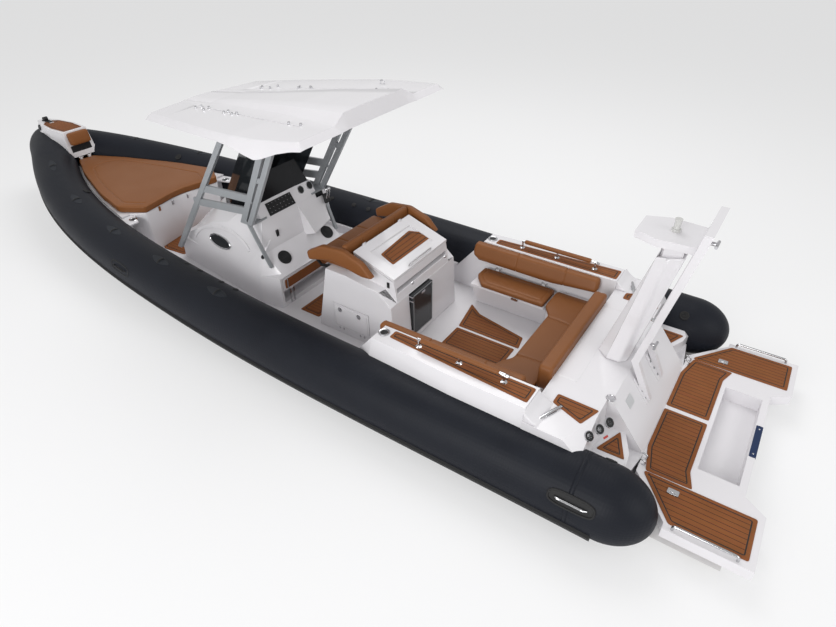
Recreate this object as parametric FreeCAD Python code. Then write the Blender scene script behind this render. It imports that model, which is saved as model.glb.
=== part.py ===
import FreeCAD
import Part
import math
import os

# A rigid inflatable boat: a deep-V hull with an air-filled collar, an inner deck with a console
# under a hardtop, a leaning post, an aft sofa, a swim platform and a raked tow mast.
# It is laid out in station measure, in millimetres: X forward from the swim platform's step,
# Y to port from the centreline, Z up from the swim platform. The last step moves every piece so
# that the origin lies at the waterline amidships.

V = FreeCAD.Vector
AMIDSHIPS = 4700.0          # from the step forward to the boat's origin
FREEBOARD = 280.0           # from the waterline up to the swim platform

# Hull and collar
TUBE_R = 315.0
TUBE_TIP = 400.0            # length of the rounded cap at each aft end
TUBE_LINE = [(110, 1390, 50), (2000, 1408, 70), (4000, 1400, 100), (5500, 1322, 140),
             (6800, 1200, 200), (7900, 1005, 275), (8800, 735, 370), (9500, 425, 465),
             (10000, 175, 515), (10320, 0, 530)]
SEAT_GAP = 0.3              # glued or bedded faces that follow a curve stay this far apart
STRAKE_W = 120.0
STRAKE_T = 24.0
FLOOR = -175.0              # cockpit sole
FLOOR_T = 40.0
HULL_AFT = -800.0
LINER_T = 35.0

# Teak and soft trim
TEAK_T = 6.0

# Cockpit sides
COAMING_Z = 555.0
COAMING_IN = 1000.0
COAMING_AFT = 905.0
COAMING_FWD = 2530.0
COAMING_FOOT = 2930.0
QUARTER_Z = 450.0
STEP_Z = 150.0
CUP_R = 40.0
CUP_DEEP = 70.0
CUP_X, CUP_Y = 2471.0, 1111.0

# Swim platform
BEAM = 1350.0
PLAT_AFT = -990.0
PLAT_T = 100.0
BOARD_AFT = -820.0
BOARD_T = 60.0
WELL_HALF = 600.0
WELL_FWD = -430.0
WELL_FLOOR = -150.0
NOTCH_IN = 685.0
NOTCH_OUT = 809.0
BOLT_R = 6.5
BOLT_SPREAD = 327.0
BOLT_Z = -50.0

# Leaning post
POST_HALF = 640.0
POST_AFT = 2700.0
POST_FWD = 3800.0
BAR_HALF = 520.0
POST_Z = 650.0
FRIDGE_Y0, FRIDGE_Y1 = -90.0, 300.0
FRIDGE_Z0, FRIDGE_Z1 = -105.0, 435.0
HATCH_AFT, HATCH_FWD = 3055.0, 3555.0
HATCH_Z0, HATCH_Z1 = -85.0, 225.0
DOOR_T = 30.0

# Console and hardtop
TOP_Z = 2200.0


def once(make):
    """Make a piece a single time and hand the same shape to every caller."""
    kept = []

    def piece():
        if not kept:
            kept.append(make())
        return kept[0]
    return piece


def box(x0, x1, y0, y1, z0, z1):
    """Plain block between two corners."""
    return Part.makeBox(x1 - x0, y1 - y0, z1 - z0, V(x0, y0, z0))


def face(points):
    """Flat face through a closed ring of points."""
    return Part.Face(Part.makePolygon(points + [points[0]]))


def prism_x(yz, x0, x1):
    return face([V(x0, y, z) for y, z in yz]).extrude(V(x1 - x0, 0, 0))


def prism_y(xz, y0, y1):
    return face([V(x, y0, z) for x, z in xz]).extrude(V(0, y1 - y0, 0))


def prism_z(xy, z0, z1):
    return face([V(x, y, z0) for x, y in xy]).extrude(V(0, 0, z1 - z0))


def both(half):
    """A half outline in X and Y, completed by its mirror image across the centreline."""
    return half + [(x, -y) for x, y in reversed(half) if y > 0]


def facets(ring):
    """Triangles that close a ring, cut ear by ear so that hollow outlines stay right."""
    normal = V(0, 0, 0)
    for p, q in zip(ring, ring[1:] + ring[:1]):
        normal += p.cross(q)
    left, out = list(ring), []
    while len(left) > 3:
        for i in range(len(left)):
            a, b, c = left[i - 1], left[i], left[(i + 1) % len(left)]
            if (b - a).cross(c - b).dot(normal) <= 1e-9 * normal.Length:
                continue
            rest = [p for p in left if p is not a and p is not b and p is not c]
            if not any(inside(p, a, b, c, normal) for p in rest):
                out.append((a, b, c))
                left.pop(i)
                break
        else:
            raise ValueError("the ring crosses itself")
    return out + [tuple(left)]


def inside(p, a, b, c, normal):
    return all((r - q).cross(p - q).dot(normal) >= -1e-6 for q, r in ((a, b), (b, c), (c, a)))


def loft(rings):
    """Flat-faced solid through a row of closed rings that have the same number of points."""
    rows = [[V(*p) for p in ring] for ring in rings]
    tris = []
    for low, high in zip(rows, rows[1:]):
        for i in range(len(low)):
            j = (i + 1) % len(low)
            if low[i].distanceToPoint(high[j]) < low[j].distanceToPoint(high[i]):
                tris += [(low[i], low[j], high[j]), (low[i], high[j], high[i])]
            else:
                tris += [(low[i], low[j], high[i]), (low[j], high[j], high[i])]
    tris += facets(rows[0]) + facets(rows[-1])
    faces = []
    for a, b, c in tris:
        if (b - a).cross(c - a).Length > 1e-3:
            faces.append(Part.Face(Part.makePolygon([a, b, c, a])))
    shell = Part.makeShell(faces)
    shell.sewShape()
    solid = Part.makeSolid(shell)
    if solid.Volume < 0:
        solid.reverse()
    return solid.removeSplitter()


def mirror(shape):
    return shape.mirror(V(0, 0, 0), V(0, 1, 0))


def join(shapes):
    whole = shapes[0].fuse(shapes[1:]) if len(shapes) > 1 else shapes[0]
    return whole.removeSplitter()


def pad(x0, x1, y0, y1, z0, z1, r):
    """Cushion block with rounded edges."""
    block = box(x0, x1, y0, y1, z0, z1)
    return block.makeFillet(r, block.Edges)


def rounded_prism_z(xy, z0, z1, r):
    """Upright prism whose upright edges are rounded."""
    solid = prism_z(xy, z0, z1)
    upright = [e for e in solid.Edges if abs(e.Vertexes[0].Z - e.Vertexes[-1].Z) > 1]
    return solid.makeFillet(r, upright)


def rod(points, r, bend=None):
    """Round bar through a few points, with its corners bent to an arc."""
    bend = bend or 3 * r
    edges = []
    here = V(*points[0])
    for i in range(1, len(points) - 1):
        corner = V(*points[i])
        a = (V(*points[i - 1]) - corner).normalize()
        b = (V(*points[i + 1]) - corner).normalize()
        turn = math.pi - a.getAngle(b)
        cut = bend * math.tan(turn / 2)
        mid = (a + b).normalize() * (bend / math.cos(turn / 2) - bend)
        start, end = corner + a * cut, corner + b * cut
        edges.append(Part.LineSegment(here, start).toShape())
        edges.append(Part.Arc(start, corner + mid, end).toShape())
        here = end
    edges.append(Part.LineSegment(here, V(*points[-1])).toShape())
    first = edges[0]
    along = first.tangentAt(first.FirstParameter)
    ring = Part.Wire(Part.makeCircle(r, V(*points[0]), along))
    return Part.Wire(edges).makePipeShell([ring], True, False)


KNUCKLE = 40.0              # length of a hinge's moving knuckle
PIN_R = 3.0
PIN_PLAY = 0.05


def hinge(at, axis, stations, r, moving_leaf, fixed_leaf):
    """Knuckles round a pin at stations along an axis: what moves, what stays, and the pin's bore."""
    moves, stays, bores = [], [], []
    half = KNUCKLE / 2
    for s in stations:
        moves.append(Part.makeCylinder(r, KNUCKLE, at + axis * (s - half), axis))
        moves.append(moving_leaf(s - half, s + half))
        for low in (s - half - 16, s + half + 1):
            stays += [Part.makeCylinder(r, 15, at + axis * low, axis), fixed_leaf(low, low + 15)]
        stays.append(Part.makeCylinder(PIN_R, KNUCKLE + 32, at + axis * (s - half - 16), axis))
        bores.append(Part.makeCylinder(PIN_R + PIN_PLAY, KNUCKLE, at + axis * (s - half), axis))
    return moves, stays, bores


def hung(piece, parts):
    """A piece with its hinge's moving knuckles, bored for the pins."""
    moves, stays, bores = parts
    return join([piece] + moves).cut(Part.makeCompound(bores))


def held(parts, carrier):
    """The hinge's fixed knuckles and pins, let into what carries them."""
    return Part.makeCompound([g.cut(carrier) for g in join(parts[1]).Solids])


def tube_spine():
    curve = Part.BSplineCurve()
    curve.interpolate([V(*p) for p in TUBE_LINE], InitialTangent=V(1, 0, 0.01),
                      FinalTangent=V(1, -1, 0.1))
    return curve


SPINE = tube_spine()


def along_tube(profile):
    """Carry a closed profile along the port tube's centre line, kept upright."""
    shell = Part.BRepOffsetAPI.MakePipeShell(Part.Wire(SPINE.toShape()))
    shell.setBiNormalMode(V(0, 0, 1))
    shell.add(profile)
    shell.build()
    shell.makeSolid()
    return shell.shape()


def tube_at(x):
    """Centre of the port tube at a station, and the cosine of its lead inward."""
    lo, hi = SPINE.FirstParameter, SPINE.LastParameter
    for _ in range(40):
        mid = (lo + hi) / 2
        if SPINE.value(mid).x < x:
            lo = mid
        else:
            hi = mid
    p = SPINE.value(lo)
    t = SPINE.tangent(lo)[0]
    return p.y, p.z, t.x / math.hypot(t.x, t.y)


def tube_body(r):
    """Port tube of a given radius: the swept length and its rounded aft cap."""
    x, y, z = TUBE_LINE[0]
    ring = Part.Wire(Part.makeCircle(r, V(x, y, z), V(1, 0, 0)))
    swept = along_tube(ring)
    grow = r - TUBE_R
    ellipse = Part.Ellipse(V(x - TUBE_TIP - grow, y, z), V(x, y, z + r), V(x, y, z))
    arc = ellipse.toShape(0, math.pi / 2)
    edges = [arc, Part.LineSegment(V(x, y, z + r), V(x, y, z)).toShape(),
             Part.LineSegment(V(x, y, z), V(x - TUBE_TIP - grow, y, z)).toShape()]
    cap = Part.Face(Part.Wire(Part.__sortEdges__(edges))).revolve(V(x, y, z), V(1, 0, 0), 360)
    return swept.fuse(cap).removeSplitter()


def port_half(shape):
    """What lies to port of the centreline."""
    return shape.common(box(-3000, 14000, 0, 4000, -3000, 4000))


TUBE_PORT = port_half(tube_body(TUBE_R))
TUBE_CLEAR = port_half(tube_body(TUBE_R + SEAT_GAP))


def seat_on_tubes(shape):
    """Hollow a piece out where the two tubes lie in it."""
    return shape.cut(TUBE_CLEAR).cut(mirror(TUBE_CLEAR))


def strake():
    """Rub strake: a flat band on the tube's outer lower side, with chamfered edges."""
    x, y, z = TUBE_LINE[0]
    inner = TUBE_R + SEAT_GAP
    mid = math.radians(-28)
    half = STRAKE_W / inner / 2
    def at(radius, angle):
        return V(x, y + radius * math.cos(angle), z + radius * math.sin(angle))
    low, high = mid - half, mid + half
    slope = 0.12 * half
    edges = [Part.Arc(at(inner, low), at(inner, mid), at(inner, high)).toShape(),
             Part.LineSegment(at(inner, high), at(inner + STRAKE_T, high - slope)).toShape(),
             Part.Arc(at(inner + STRAKE_T, high - slope), at(inner + STRAKE_T, mid),
                      at(inner + STRAKE_T, low + slope)).toShape(),
             Part.LineSegment(at(inner + STRAKE_T, low + slope), at(inner, low)).toShape()]
    return port_half(along_tube(Part.Wire(edges)))


# Hull bottom: station, keel height, chine half-breadth, chine height and inner sole height
HULL_STATIONS = [(HULL_AFT, -850, 1120, -370, -215), (1500, -880, 1135, -365, -215),
                 (4000, -870, 1120, -345, -215), (5200, -835, 1055, -328, -215),
                 (6200, -780, 960, -300, -215), (7000, -700, 850, -272, -215),
                 (7500, -625, 770, -250, -215), (8400, -430, 560, -150, -60),
                 (9300, -130, 300, 20, 90), (10000, 180, 80, 215, 260)]
CHINE_FLAT = 70.0


@once
def hull():
    """Deep-V bottom with flat chines, sides up to the tubes and a shallow inner well."""
    rings = []
    for x, keel, chine, chine_z, top in HULL_STATIONS:
        y, z, lead = tube_at(max(x, 120))
        reach = TUBE_R / lead
        low = (max(y - 0.15 * reach, chine + 20), z - 0.7 * TUBE_R)
        lip = (max(y - 0.62 * reach, 24), z - 0.5 * TUBE_R)
        corner = (max(y - reach - 4, 12), top)
        half = [(0, keel), (chine - CHINE_FLAT, chine_z), (chine, chine_z), low, lip, corner]
        ring = half + [(-p, q) for p, q in reversed(half) if p > 0]
        rings.append([(x, p, q) for p, q in ring])
    return seat_on_tubes(loft(rings))


def half_breadth(x, inset):
    """Room inside the tube at a station, less an inset."""
    y, z, lead = tube_at(max(x, 120))
    return y - (TUBE_R + SEAT_GAP) / lead - inset


FLOOR_FWD = 7500.0
LINER_TOP = 0.0            # height of the side liner's lip above the tube's centre


@once
def floor():
    stations = [max(s[0], 0) for s in HULL_STATIONS if s[0] <= FLOOR_FWD]
    half = [(x, half_breadth(x, 6)) for x in stations]
    return prism_z(both(half), FLOOR - FLOOR_T, FLOOR)


@once
def liner():
    """Side moulding from the sole up to the tube, with a rolled lip on top."""
    rings = []
    for x in [COAMING_FOOT, 4000, 5200, 6200, 7000]:
        y, z, lead = tube_at(x)
        outer = half_breadth(x, 6)
        inner = outer - LINER_T
        top = z + LINER_TOP
        ring = [(outer, FLOOR), (outer, top), (inner, top), (inner, FLOOR)]
        rings.append([(x, p, q) for p, q in ring])
    return loft(rings)


# Bow: locker, lid, cushion and step
LOCKER_AFT = 7100.0
LOCKER_FWD = 9380.0
LOCKER_Z = 400.0
LOCKER_WALL = 40.0
RIM_T = 30.0
ROOM_FWD = 9050.0            # forward end of the space inside the locker
ARC_IN = 500.0              # half-breadth where the locker's hollowed face begins
ARC_DEEP = 330.0            # how far that face bows forward on the centreline
LID_PLAY = 5.0
PAD_T = 110.0


def bow_outline(inset, aft, fwd, deep):
    """Half plan of the bow, inside the tubes, with a face hollowed towards the bow."""
    side = [aft + (fwd - aft) * i / 7 for i in range(8)]
    edge = [(x, half_breadth_at(x, LOCKER_Z, inset)) for x in side]
    n = 6
    bite = []
    for i in range(n + 1):
        a = math.pi / 2 * i / n
        bite.append((aft + deep * math.cos(a), ARC_IN * math.sin(a)))
    return bite + [(x, y) for x, y in edge]


def half_breadth_at(x, height, inset):
    """Room between the tubes at a height, where their upper halves lean away."""
    y, z, lead = tube_at(x)
    up = min(abs(height - z), TUBE_R * 0.98)
    return y - math.sqrt(TUBE_R ** 2 - up ** 2) / lead - inset


@once
def bow_locker():
    """Locker moulding under the bow lid: upright walls and a rim that reaches out to the tubes."""
    walls = prism_z(both(locker_outline(8)), FLOOR, LOCKER_Z)
    rim = prism_z(both(bow_outline(-60, LOCKER_AFT, LOCKER_FWD, ARC_DEEP)), LOCKER_Z - RIM_T, LOCKER_Z)
    room = both(room_outline(LOCKER_WALL + 20, LOCKER_AFT + ARC_DEEP + LOCKER_WALL, ROOM_FWD))
    hollow = prism_z(room, FLOOR, LOCKER_Z + 1).cut(hull_top_cut(LOCKER_WALL))
    return join([walls, seat_on_tubes(rim)]).cut(hull_top_cut(0)).cut(hollow)


def locker_outline(inset):
    """Half plan of the locker's walls, between the tubes at their widest."""
    bite = bow_outline(0, LOCKER_AFT, LOCKER_FWD, ARC_DEEP)[:7]
    edge = [(x, half_breadth(x, inset)) for x in [LOCKER_AFT] + [s[0] for s in HULL_STATIONS
            if LOCKER_AFT < s[0] < LOCKER_FWD] + [LOCKER_FWD]]
    return bite + edge


def room_outline(inset, aft, fwd):
    """Half plan of the space inside the bow locker, narrowing between the tubes."""
    side = [aft + (fwd - aft) * i / 4 for i in range(5)]
    edge = [(x, half_breadth(x, inset)) for x in side]
    return [(aft, 0)] + edge + [(fwd, 0)]


def hull_top_cut(above):
    """Everything below a line that stands a little above the hull's upper face."""
    xz = [(s[0], s[4] + above) for s in HULL_STATIONS]
    ring = xz + [(xz[-1][0] + 2000, xz[-1][1]), (xz[-1][0] + 2000, -3000), (xz[0][0], -3000)]
    return prism_y(ring, -3000, 3000)


LID_FWD = LOCKER_FWD - 40
BOW_AXIS = V(LID_FWD + 5, 0, LOCKER_Z + 145)


@once
def bow_hinge():
    x, z = BOW_AXIS.x, BOW_AXIS.z
    return hinge(BOW_AXIS, V(0, 1, 0), (-70, 70), 5,
                 lambda a, b: box(x - 8, x - 3.5, a, b, LOCKER_Z + LID_PLAY, z),
                 lambda a, b: box(x, x + 6, a, b, LOCKER_Z, z))


def bow_lid():
    outline = both(bow_outline(14, LOCKER_AFT - 10, LID_FWD, ARC_DEEP))
    return hung(prism_z(outline, LOCKER_Z + LID_PLAY, LOCKER_Z + LID_PLAY + 20), bow_hinge())


def sunpad():
    outline = both(bow_outline(20, LOCKER_AFT - 20, LID_FWD - 5, ARC_DEEP))
    base = LOCKER_Z + LID_PLAY + 20
    return prism_z(outline, base, base + PAD_T)


STEP_AFT = 9400.0
STEP_FWD = 10380.0
STEP_TOP_AFT = 960.0
STEP_LOW = 560.0


def bow_step():
    """Moulded step over the tubes' nose, with a chamfered front and a stem below."""
    half = [(STEP_AFT, 190), (9760, 215), (10160, 150), (STEP_FWD, 60)]
    low = [(STEP_AFT - 60, 230), (9760, 250), (10220, 200), (STEP_FWD + 60, 90)]
    top_ring = [(x, y, STEP_TOP_AFT) for x, y in both(half)]
    low_ring = [(x, y, STEP_LOW) for x, y in both(low)]
    return seat_on_tubes(loft([low_ring, top_ring]))


def bow_step_teak():
    half = [(STEP_AFT + 40, 150), (9760, 172), (10060, 130), (10150, 60), (10150, 0.1)]
    notch = box(10020, 10400, -38, 38, 0, 2000)
    return prism_z(both(half), STEP_TOP_AFT, STEP_TOP_AFT + TEAK_T).cut(notch)


def bow_backrest():
    """Back cushion, leaning with the step's aft face."""
    def lean(z):
        return STEP_AFT - 60 + 60 * (z - STEP_LOW) / (STEP_TOP_AFT - STEP_LOW) - SEAT_GAP
    ring = [(lean(745) - 92, 745), (lean(745), 745), (lean(945), 945), (lean(945) - 92, 945)]
    block = prism_y(ring, -165, 165)
    return block.makeFillet(20, block.Edges)


def bow_fittings():
    roller = Part.makeCylinder(32, 64, V(10230, -32, STEP_TOP_AFT + 33), V(0, 1, 0))
    cheeks = box(10080, 10290, -34, 34, STEP_TOP_AFT, STEP_TOP_AFT + 12)
    return join([cheeks, roller])


# Aft cockpit
SOFA_AFT = 900.0
SOFA_FWD = 1440.0
SEAT_Z = 215.0
SEAT_PAD = 60.0
BACK_Z = 560.0


@once
def coaming():
    """Raised side deck: upright inside, sloped outside down to the tube."""
    rings = []
    for x, top, inner, outer in [(COAMING_AFT, COAMING_Z, COAMING_IN, 1290), (1600, COAMING_Z, 1005, 1290),
                                 (COAMING_FWD, COAMING_Z, 1010, 1235), (COAMING_FOOT, 60, 1040, 1110)]:
        yc, zc, lead = tube_at(x)
        ring = [(inner, FLOOR), (inner, top), (outer, top), (max(outer + 60, 1180), min(top - 20, 330)),
                (1080, FLOOR)]
        rings.append([(x, p, q) for p, q in ring])
    cup = Part.makeCylinder(CUP_R, 80, V(CUP_X, CUP_Y, COAMING_Z - CUP_DEEP))
    return seat_on_tubes(loft(rings)).cut(cup)


@once
def aft_deck():
    """Transom moulding: aft deck, quarters, the slope to the platform and the side steps."""
    centre = prism_y([(SOFA_AFT - 200, 0), (SOFA_AFT - 200, 450), (360, 450), (0, 0)], -700, 700)
    quarter = prism_y([(COAMING_AFT - 1, 0), (COAMING_AFT - 1, 450), (402, 450), (352, 0)], 640, 1345)
    step = prism_z([(420, 640), (420, 1130), (60, 1130), (90, 900), (210, 640)], 0, STEP_Z)
    whole = join([centre, quarter, mirror(quarter), step, mirror(step)])
    base = prism_z(both([(0, 700), (60, 1095), (COAMING_AFT - 1, 1095)]), FLOOR, 0)
    return seat_on_tubes(join([whole, base]))


def sofa_base():
    half = [(SOFA_FWD - 60, 0), (SOFA_FWD - 60, 430), (1490, 560), (1490, COAMING_IN - 1),
            (COAMING_AFT, COAMING_IN - 1), (COAMING_AFT, 0)]
    return prism_z(both([(x, max(y, 0.0)) for x, y in half]), FLOOR, SEAT_Z)


def sofa_seat():
    half = [(SOFA_FWD - 30, 0), (SOFA_FWD - 30, 430), (1510, 570), (1510, 905),
            (SOFA_AFT + 160, 905), (SOFA_AFT + 160, 0)]
    return rounded_prism_z(both(half), SEAT_Z, SEAT_Z + SEAT_PAD, 20)


def sofa_backrest():
    return pad(COAMING_AFT - 1 + SEAT_GAP, 1050, -740, 740, SEAT_Z + SEAT_PAD + SEAT_GAP, BACK_Z, 30)


def coaming_face(x):
    """Half-breadth of the coaming's upright inner face at a station."""
    rows = [(COAMING_AFT, COAMING_IN), (1600, COAMING_IN + 5), (COAMING_FWD, COAMING_IN + 10),
            (COAMING_FOOT, COAMING_IN + 40)]
    for (x0, y0), (x1, y1) in zip(rows, rows[1:]):
        if x <= x1:
            return y0 + (y1 - y0) * (x - x0) / (x1 - x0)
    return rows[-1][1]


def side_bolster():
    """Padded rest along the port coaming, mitred at both ends."""
    rings = []
    for x, low in [(1060, 60), (1600, 0), (COAMING_FWD, 0), (2620, 60)]:
        y = coaming_face(x) - SEAT_GAP
        ring = [(y, 330 + low), (y - 125, 345 + low), (y - 148, 400 + low / 2), (y - 92, 550), (y, 552)]
        rings.append([(x, p, q) for p, q in ring])
    return loft(rings)


FOLD_AFT = 1530.0
FOLD_FWD = 2480.0
FOLD_Z = 190.0


def fold_box():
    """Starboard locker under the folding seat."""
    case = prism_x([(-COAMING_IN, FLOOR), (-780, FLOOR), (-640, FOLD_Z - 30), (-COAMING_IN, FOLD_Z - 30)],
                   FOLD_AFT, FOLD_FWD)
    return case.cut(box(FOLD_AFT + 30, FOLD_FWD - 30, -COAMING_IN + 30, -810, FLOOR + 20, FOLD_Z))


SEAT_AXIS = V(0, -957, FOLD_Z + 62)


@once
def seat_hinge():
    y, z = SEAT_AXIS.y, SEAT_AXIS.z
    return hinge(SEAT_AXIS, V(1, 0, 0), (1700, 2300), 4,
                 lambda a, b: box(a, b, y - 3, y + 2, FOLD_Z - 25, z),
                 lambda a, b: box(a, b, -COAMING_IN - 12, y, z - 4, z + 4))


def fold_seat():
    board = box(FOLD_AFT + 5, FOLD_FWD - 5, -960, -600, FOLD_Z - 25, FOLD_Z)
    return hung(board, seat_hinge())


def fold_cushion():
    return pad(FOLD_AFT + 8, FOLD_FWD - 8, -950, -590, FOLD_Z, FOLD_Z + 60, 20)


# Swim platform
@once
def platform():
    half = [(BOARD_AFT, 0), (BOARD_AFT, NOTCH_IN), (PLAT_AFT, NOTCH_OUT), (PLAT_AFT, BEAM),
            (-330, BEAM), (-330, 1290), (0, 900), (0, 0)]
    slab = prism_z(both(half), -PLAT_T, 0)
    base = box(BOARD_AFT, 0, -1050, 1050, FLOOR - FLOOR_T, -PLAT_T)
    whole = join([slab, base])
    well = box(BOARD_AFT + BOARD_T, WELL_FWD, -WELL_HALF, WELL_HALF, WELL_FLOOR, 10)
    return seat_on_tubes(whole.cut(well)).cut(engine_holes())


def engine_holes():
    """Through holes in the board for the upper pair of engine bolts."""
    tool = Part.makeCylinder(BOLT_R, 200, V(BOARD_AFT - 60, BOLT_SPREAD / 2, BOLT_Z), V(1, 0, 0))
    return tool.fuse(mirror(tool))


def platform_teak():
    wing = [(-940, 865), (-940, 1289), (-360, 1289), (-60, 890), (-60, 865)]
    centre = [(60, 25), (60, 580), (-66, 862), (-445, 855), (-386, 678), (-386, 25)]
    parts = [prism_z(wing, 0, TEAK_T), prism_z(centre, 0, TEAK_T)]
    parts[1] = prism_z([(x if x < 0 else -2, y) for x, y in centre], 0, TEAK_T)
    return Part.makeCompound([seat_on_tubes(p) for p in parts + [mirror(p) for p in parts]])


def engine_pad():
    return box(BOARD_AFT - 3, BOARD_AFT, -215, 215, -95, -2).cut(engine_holes())


def platform_rails():
    rail = rod([(-870, 1320, 0), (-870, 1320, 45), (-400, 1320, 45), (-400, 1320, 0)], 12, 25)
    return Part.makeCompound([rail, mirror(rail)])


# Mast
MAST_KNEE = (335.0, 560.0)
MAST_TOP = (62.0, 1935.0)
PLATE_T = 12.0


def mast_x(z):
    """Station of the mast's centre at a height above its knee."""
    return MAST_KNEE[0] + (MAST_TOP[0] - MAST_KNEE[0]) * (z - MAST_KNEE[1]) / (MAST_TOP[1] - MAST_KNEE[1])


@once
def mast_frame():
    """Raked arch of box section: legs kneed over the deck's edge, a head bar and two cross plates."""
    half = 32
    def row(x, y0, y1, z):
        return [(x - half, y0, z), (x + half, y0, z), (x + half, y1, z), (x - half, y1, z)]
    leg = loft([row(150, 170, 226, 190), row(MAST_KNEE[0], 172, 228, MAST_KNEE[1]),
                row(MAST_TOP[0], 250, 295, MAST_TOP[1])])
    def bar(z0, z1, wide, thick):
        return loft([[(mast_x(z) + t, y, z) for t, y in ((-thick, -wide), (thick, -wide), (thick, wide),
                     (-thick, wide))] for z in (z0, z1)])
    head = bar(MAST_TOP[1] - 60, MAST_TOP[1], 255, half)
    plates = [bar(1690, 1800, 245, PLATE_T / 2), bar(580, 700, 190, PLATE_T / 2)]
    return join([leg, mirror(leg), head] + plates).cut(aft_deck())


def mast_fairing():
    """Fairing round the mast's stem, from the deck up to under the shelf."""
    base = [(700, 95), (600, 187), (477, 184), (418, 123)]
    top = [(425, 50, 1515), (404, 150, 1590), (311, 150, 1603), (192, 148, 1636)]
    upper = top + [(x, -y, z) for x, y, z in reversed(top)]
    return loft([[(x, y, QUARTER_Z) for x, y in both(base)], upper]).cut(mast_frame())


SHELF_Z = 1775.0
SHELF_T = 65.0


def mast_shelf():
    """Equipment shelf on a short pedestal over the fairing, butting on the mast's upper plate."""
    half = [(613, 151), (420, 225), (136, 200), (60, 200)]
    plate = prism_z(both(half), SHELF_Z - SHELF_T, SHELF_Z)
    stem = prism_z(both([(400, 60), (370, 110), (215, 120)]), 1500, SHELF_Z - SHELF_T)
    face = PLATE_T / 2
    behind = loft([[(-500, y0, z), (mast_x(z) + face, y0, z), (mast_x(z) + face, y1, z), (-500, y1, z)]
                   for z, y0, y1 in ((1400, -400, 400), (1900, -400, 400))])
    return join([plate, stem]).cut(behind).cut(mast_frame()).cut(mast_fairing())


def anchor_light():
    foot = Part.makeCylinder(38, 22, V(335, 0, SHELF_Z))
    return join([foot, Part.makeCylinder(26, 70, V(335, 0, SHELF_Z + 22)),
                 Part.makeCylinder(30, 16, V(335, 0, SHELF_Z + 92))])


def tow_bollards():
    both_of = []
    for z in (1745, 640):
        x = mast_x(z)
        stem = Part.makeCylinder(16, 87, V(x, 0, z), V(-1, 0, 0)).cut(mast_frame())
        bar = Part.makeCylinder(13, 120, V(x - 86, -60, z), V(0, 1, 0))
        both_of.append(join([stem, bar]))
    return Part.makeCompound(both_of)


# Leaning post
@once
def post_body():
    side = [(POST_AFT, FLOOR), (POST_AFT + 40, 450), (2900, 590), (3340, POST_Z), (3620, POST_Z),
            (POST_FWD, FLOOR)]
    low = prism_y(side, -POST_HALF, POST_HALF)
    bar_ring = [(2740, 440), (2780, 690), (3300, 865), (3330, 560)]
    bar = prism_y(bar_ring, -BAR_HALF, BAR_HALF)
    slot = box(2600, 2980, -490, 490, 545, 600)
    whole = join([low, bar]).cut(slot)
    fridge_hole = box(2600, 3100, FRIDGE_Y0 - 5, FRIDGE_Y1 + 5, FRIDGE_Z0 - 5, FRIDGE_Z1 + 5)
    hatch_hole = box(HATCH_AFT - 5, HATCH_FWD + 5, 340, 900, HATCH_Z0 - 5, HATCH_Z1 + 5)
    tray = box(2840, 3240, -450, 450, 650, 900)
    return whole.cut(fridge_hole).cut(hatch_hole).cut(tray)


LID_AXIS = V(3306, 0, 912)


@once
def lid_hinge():
    x, z = LID_AXIS.x, LID_AXIS.z
    return hinge(LID_AXIS, V(0, 1, 0), (-331, 331), 5,
                 lambda a, b: box(x - 22, x, a, b, z - 12, z - 1),
                 lambda a, b: box(x - 1, x + 4, a, b, z - 160, z))


@once
def lid_slab():
    ring = [(2776, 700), (2776, 730), (3300, 905), (3300, 873)]
    return prism_y(ring, -BAR_HALF, BAR_HALF)


def post_lid():
    """Sloped counter lid with a sunk panel on top."""
    dish = prism_y([(2870, 745), (2870, 900), (3190, 900), (3190, 848)], -370, 370)
    return hung(lid_slab().cut(dish), lid_hinge())


def lid_handle():
    """Bar handle across the lid's aft end, on two feet."""
    slope = V(300, 0, 100).normalize()
    up = V(-slope.z, 0, slope.x)
    start = V(2800, -215, 738)
    bar = rod([tuple(start), tuple(start + up * 24), tuple(start + up * 24 + V(0, 430, 0)),
               tuple(start + V(0, 430, 0))], 7, 12)
    return bar.cut(lid_slab())


def fridge_body():
    case = box(2725, 3095, FRIDGE_Y0, FRIDGE_Y1, FRIDGE_Z0, FRIDGE_Z1)
    room = box(2720, 3060, FRIDGE_Y0 + 35, FRIDGE_Y1 - 35, FRIDGE_Z0 + 35, FRIDGE_Z1 - 35)
    return case.cut(room)


FRIDGE_AXIS = V(2684, 306, 0)


@once
def fridge_hinge():
    x, y = FRIDGE_AXIS.x, FRIDGE_AXIS.y
    return hinge(FRIDGE_AXIS, V(0, 0, 1), (-60, 390), 5,
                 lambda a, b: box(x - 2, x + 12, y - 12, y, a, b),
                 lambda a, b: box(x - 4, x + 70, y, y + 5, a, b))


def fridge_door():
    door = box(2690, 2690 + DOOR_T, FRIDGE_Y0, FRIDGE_Y1, FRIDGE_Z0, FRIDGE_Z1)
    return hung(door, fridge_hinge())


HATCH_AXIS = V(0, 645, -90)


@once
def hatch_hinge():
    y, z = HATCH_AXIS.y, HATCH_AXIS.z
    return hinge(HATCH_AXIS, V(1, 0, 0), (3155, 3455), 4,
                 lambda a, b: box(a, b, y - 7, y + 3, z, z + 24),
                 lambda a, b: box(a, b, y - 9, y + 3, z - 24, z))


def post_hatches():
    door = box(HATCH_AFT, HATCH_FWD, POST_HALF - DOOR_T, POST_HALF, HATCH_Z0, HATCH_Z1)
    return hung(door, hatch_hinge())


@once
def helm_seat():
    return pad(3330, 3850, -540, 540, POST_Z + SEAT_GAP, POST_Z + 112, 40)


def helm_back():
    return pad(3345, 3425, -579.7, 579.7, POST_Z + 112 + SEAT_GAP, 975, 35)


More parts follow.
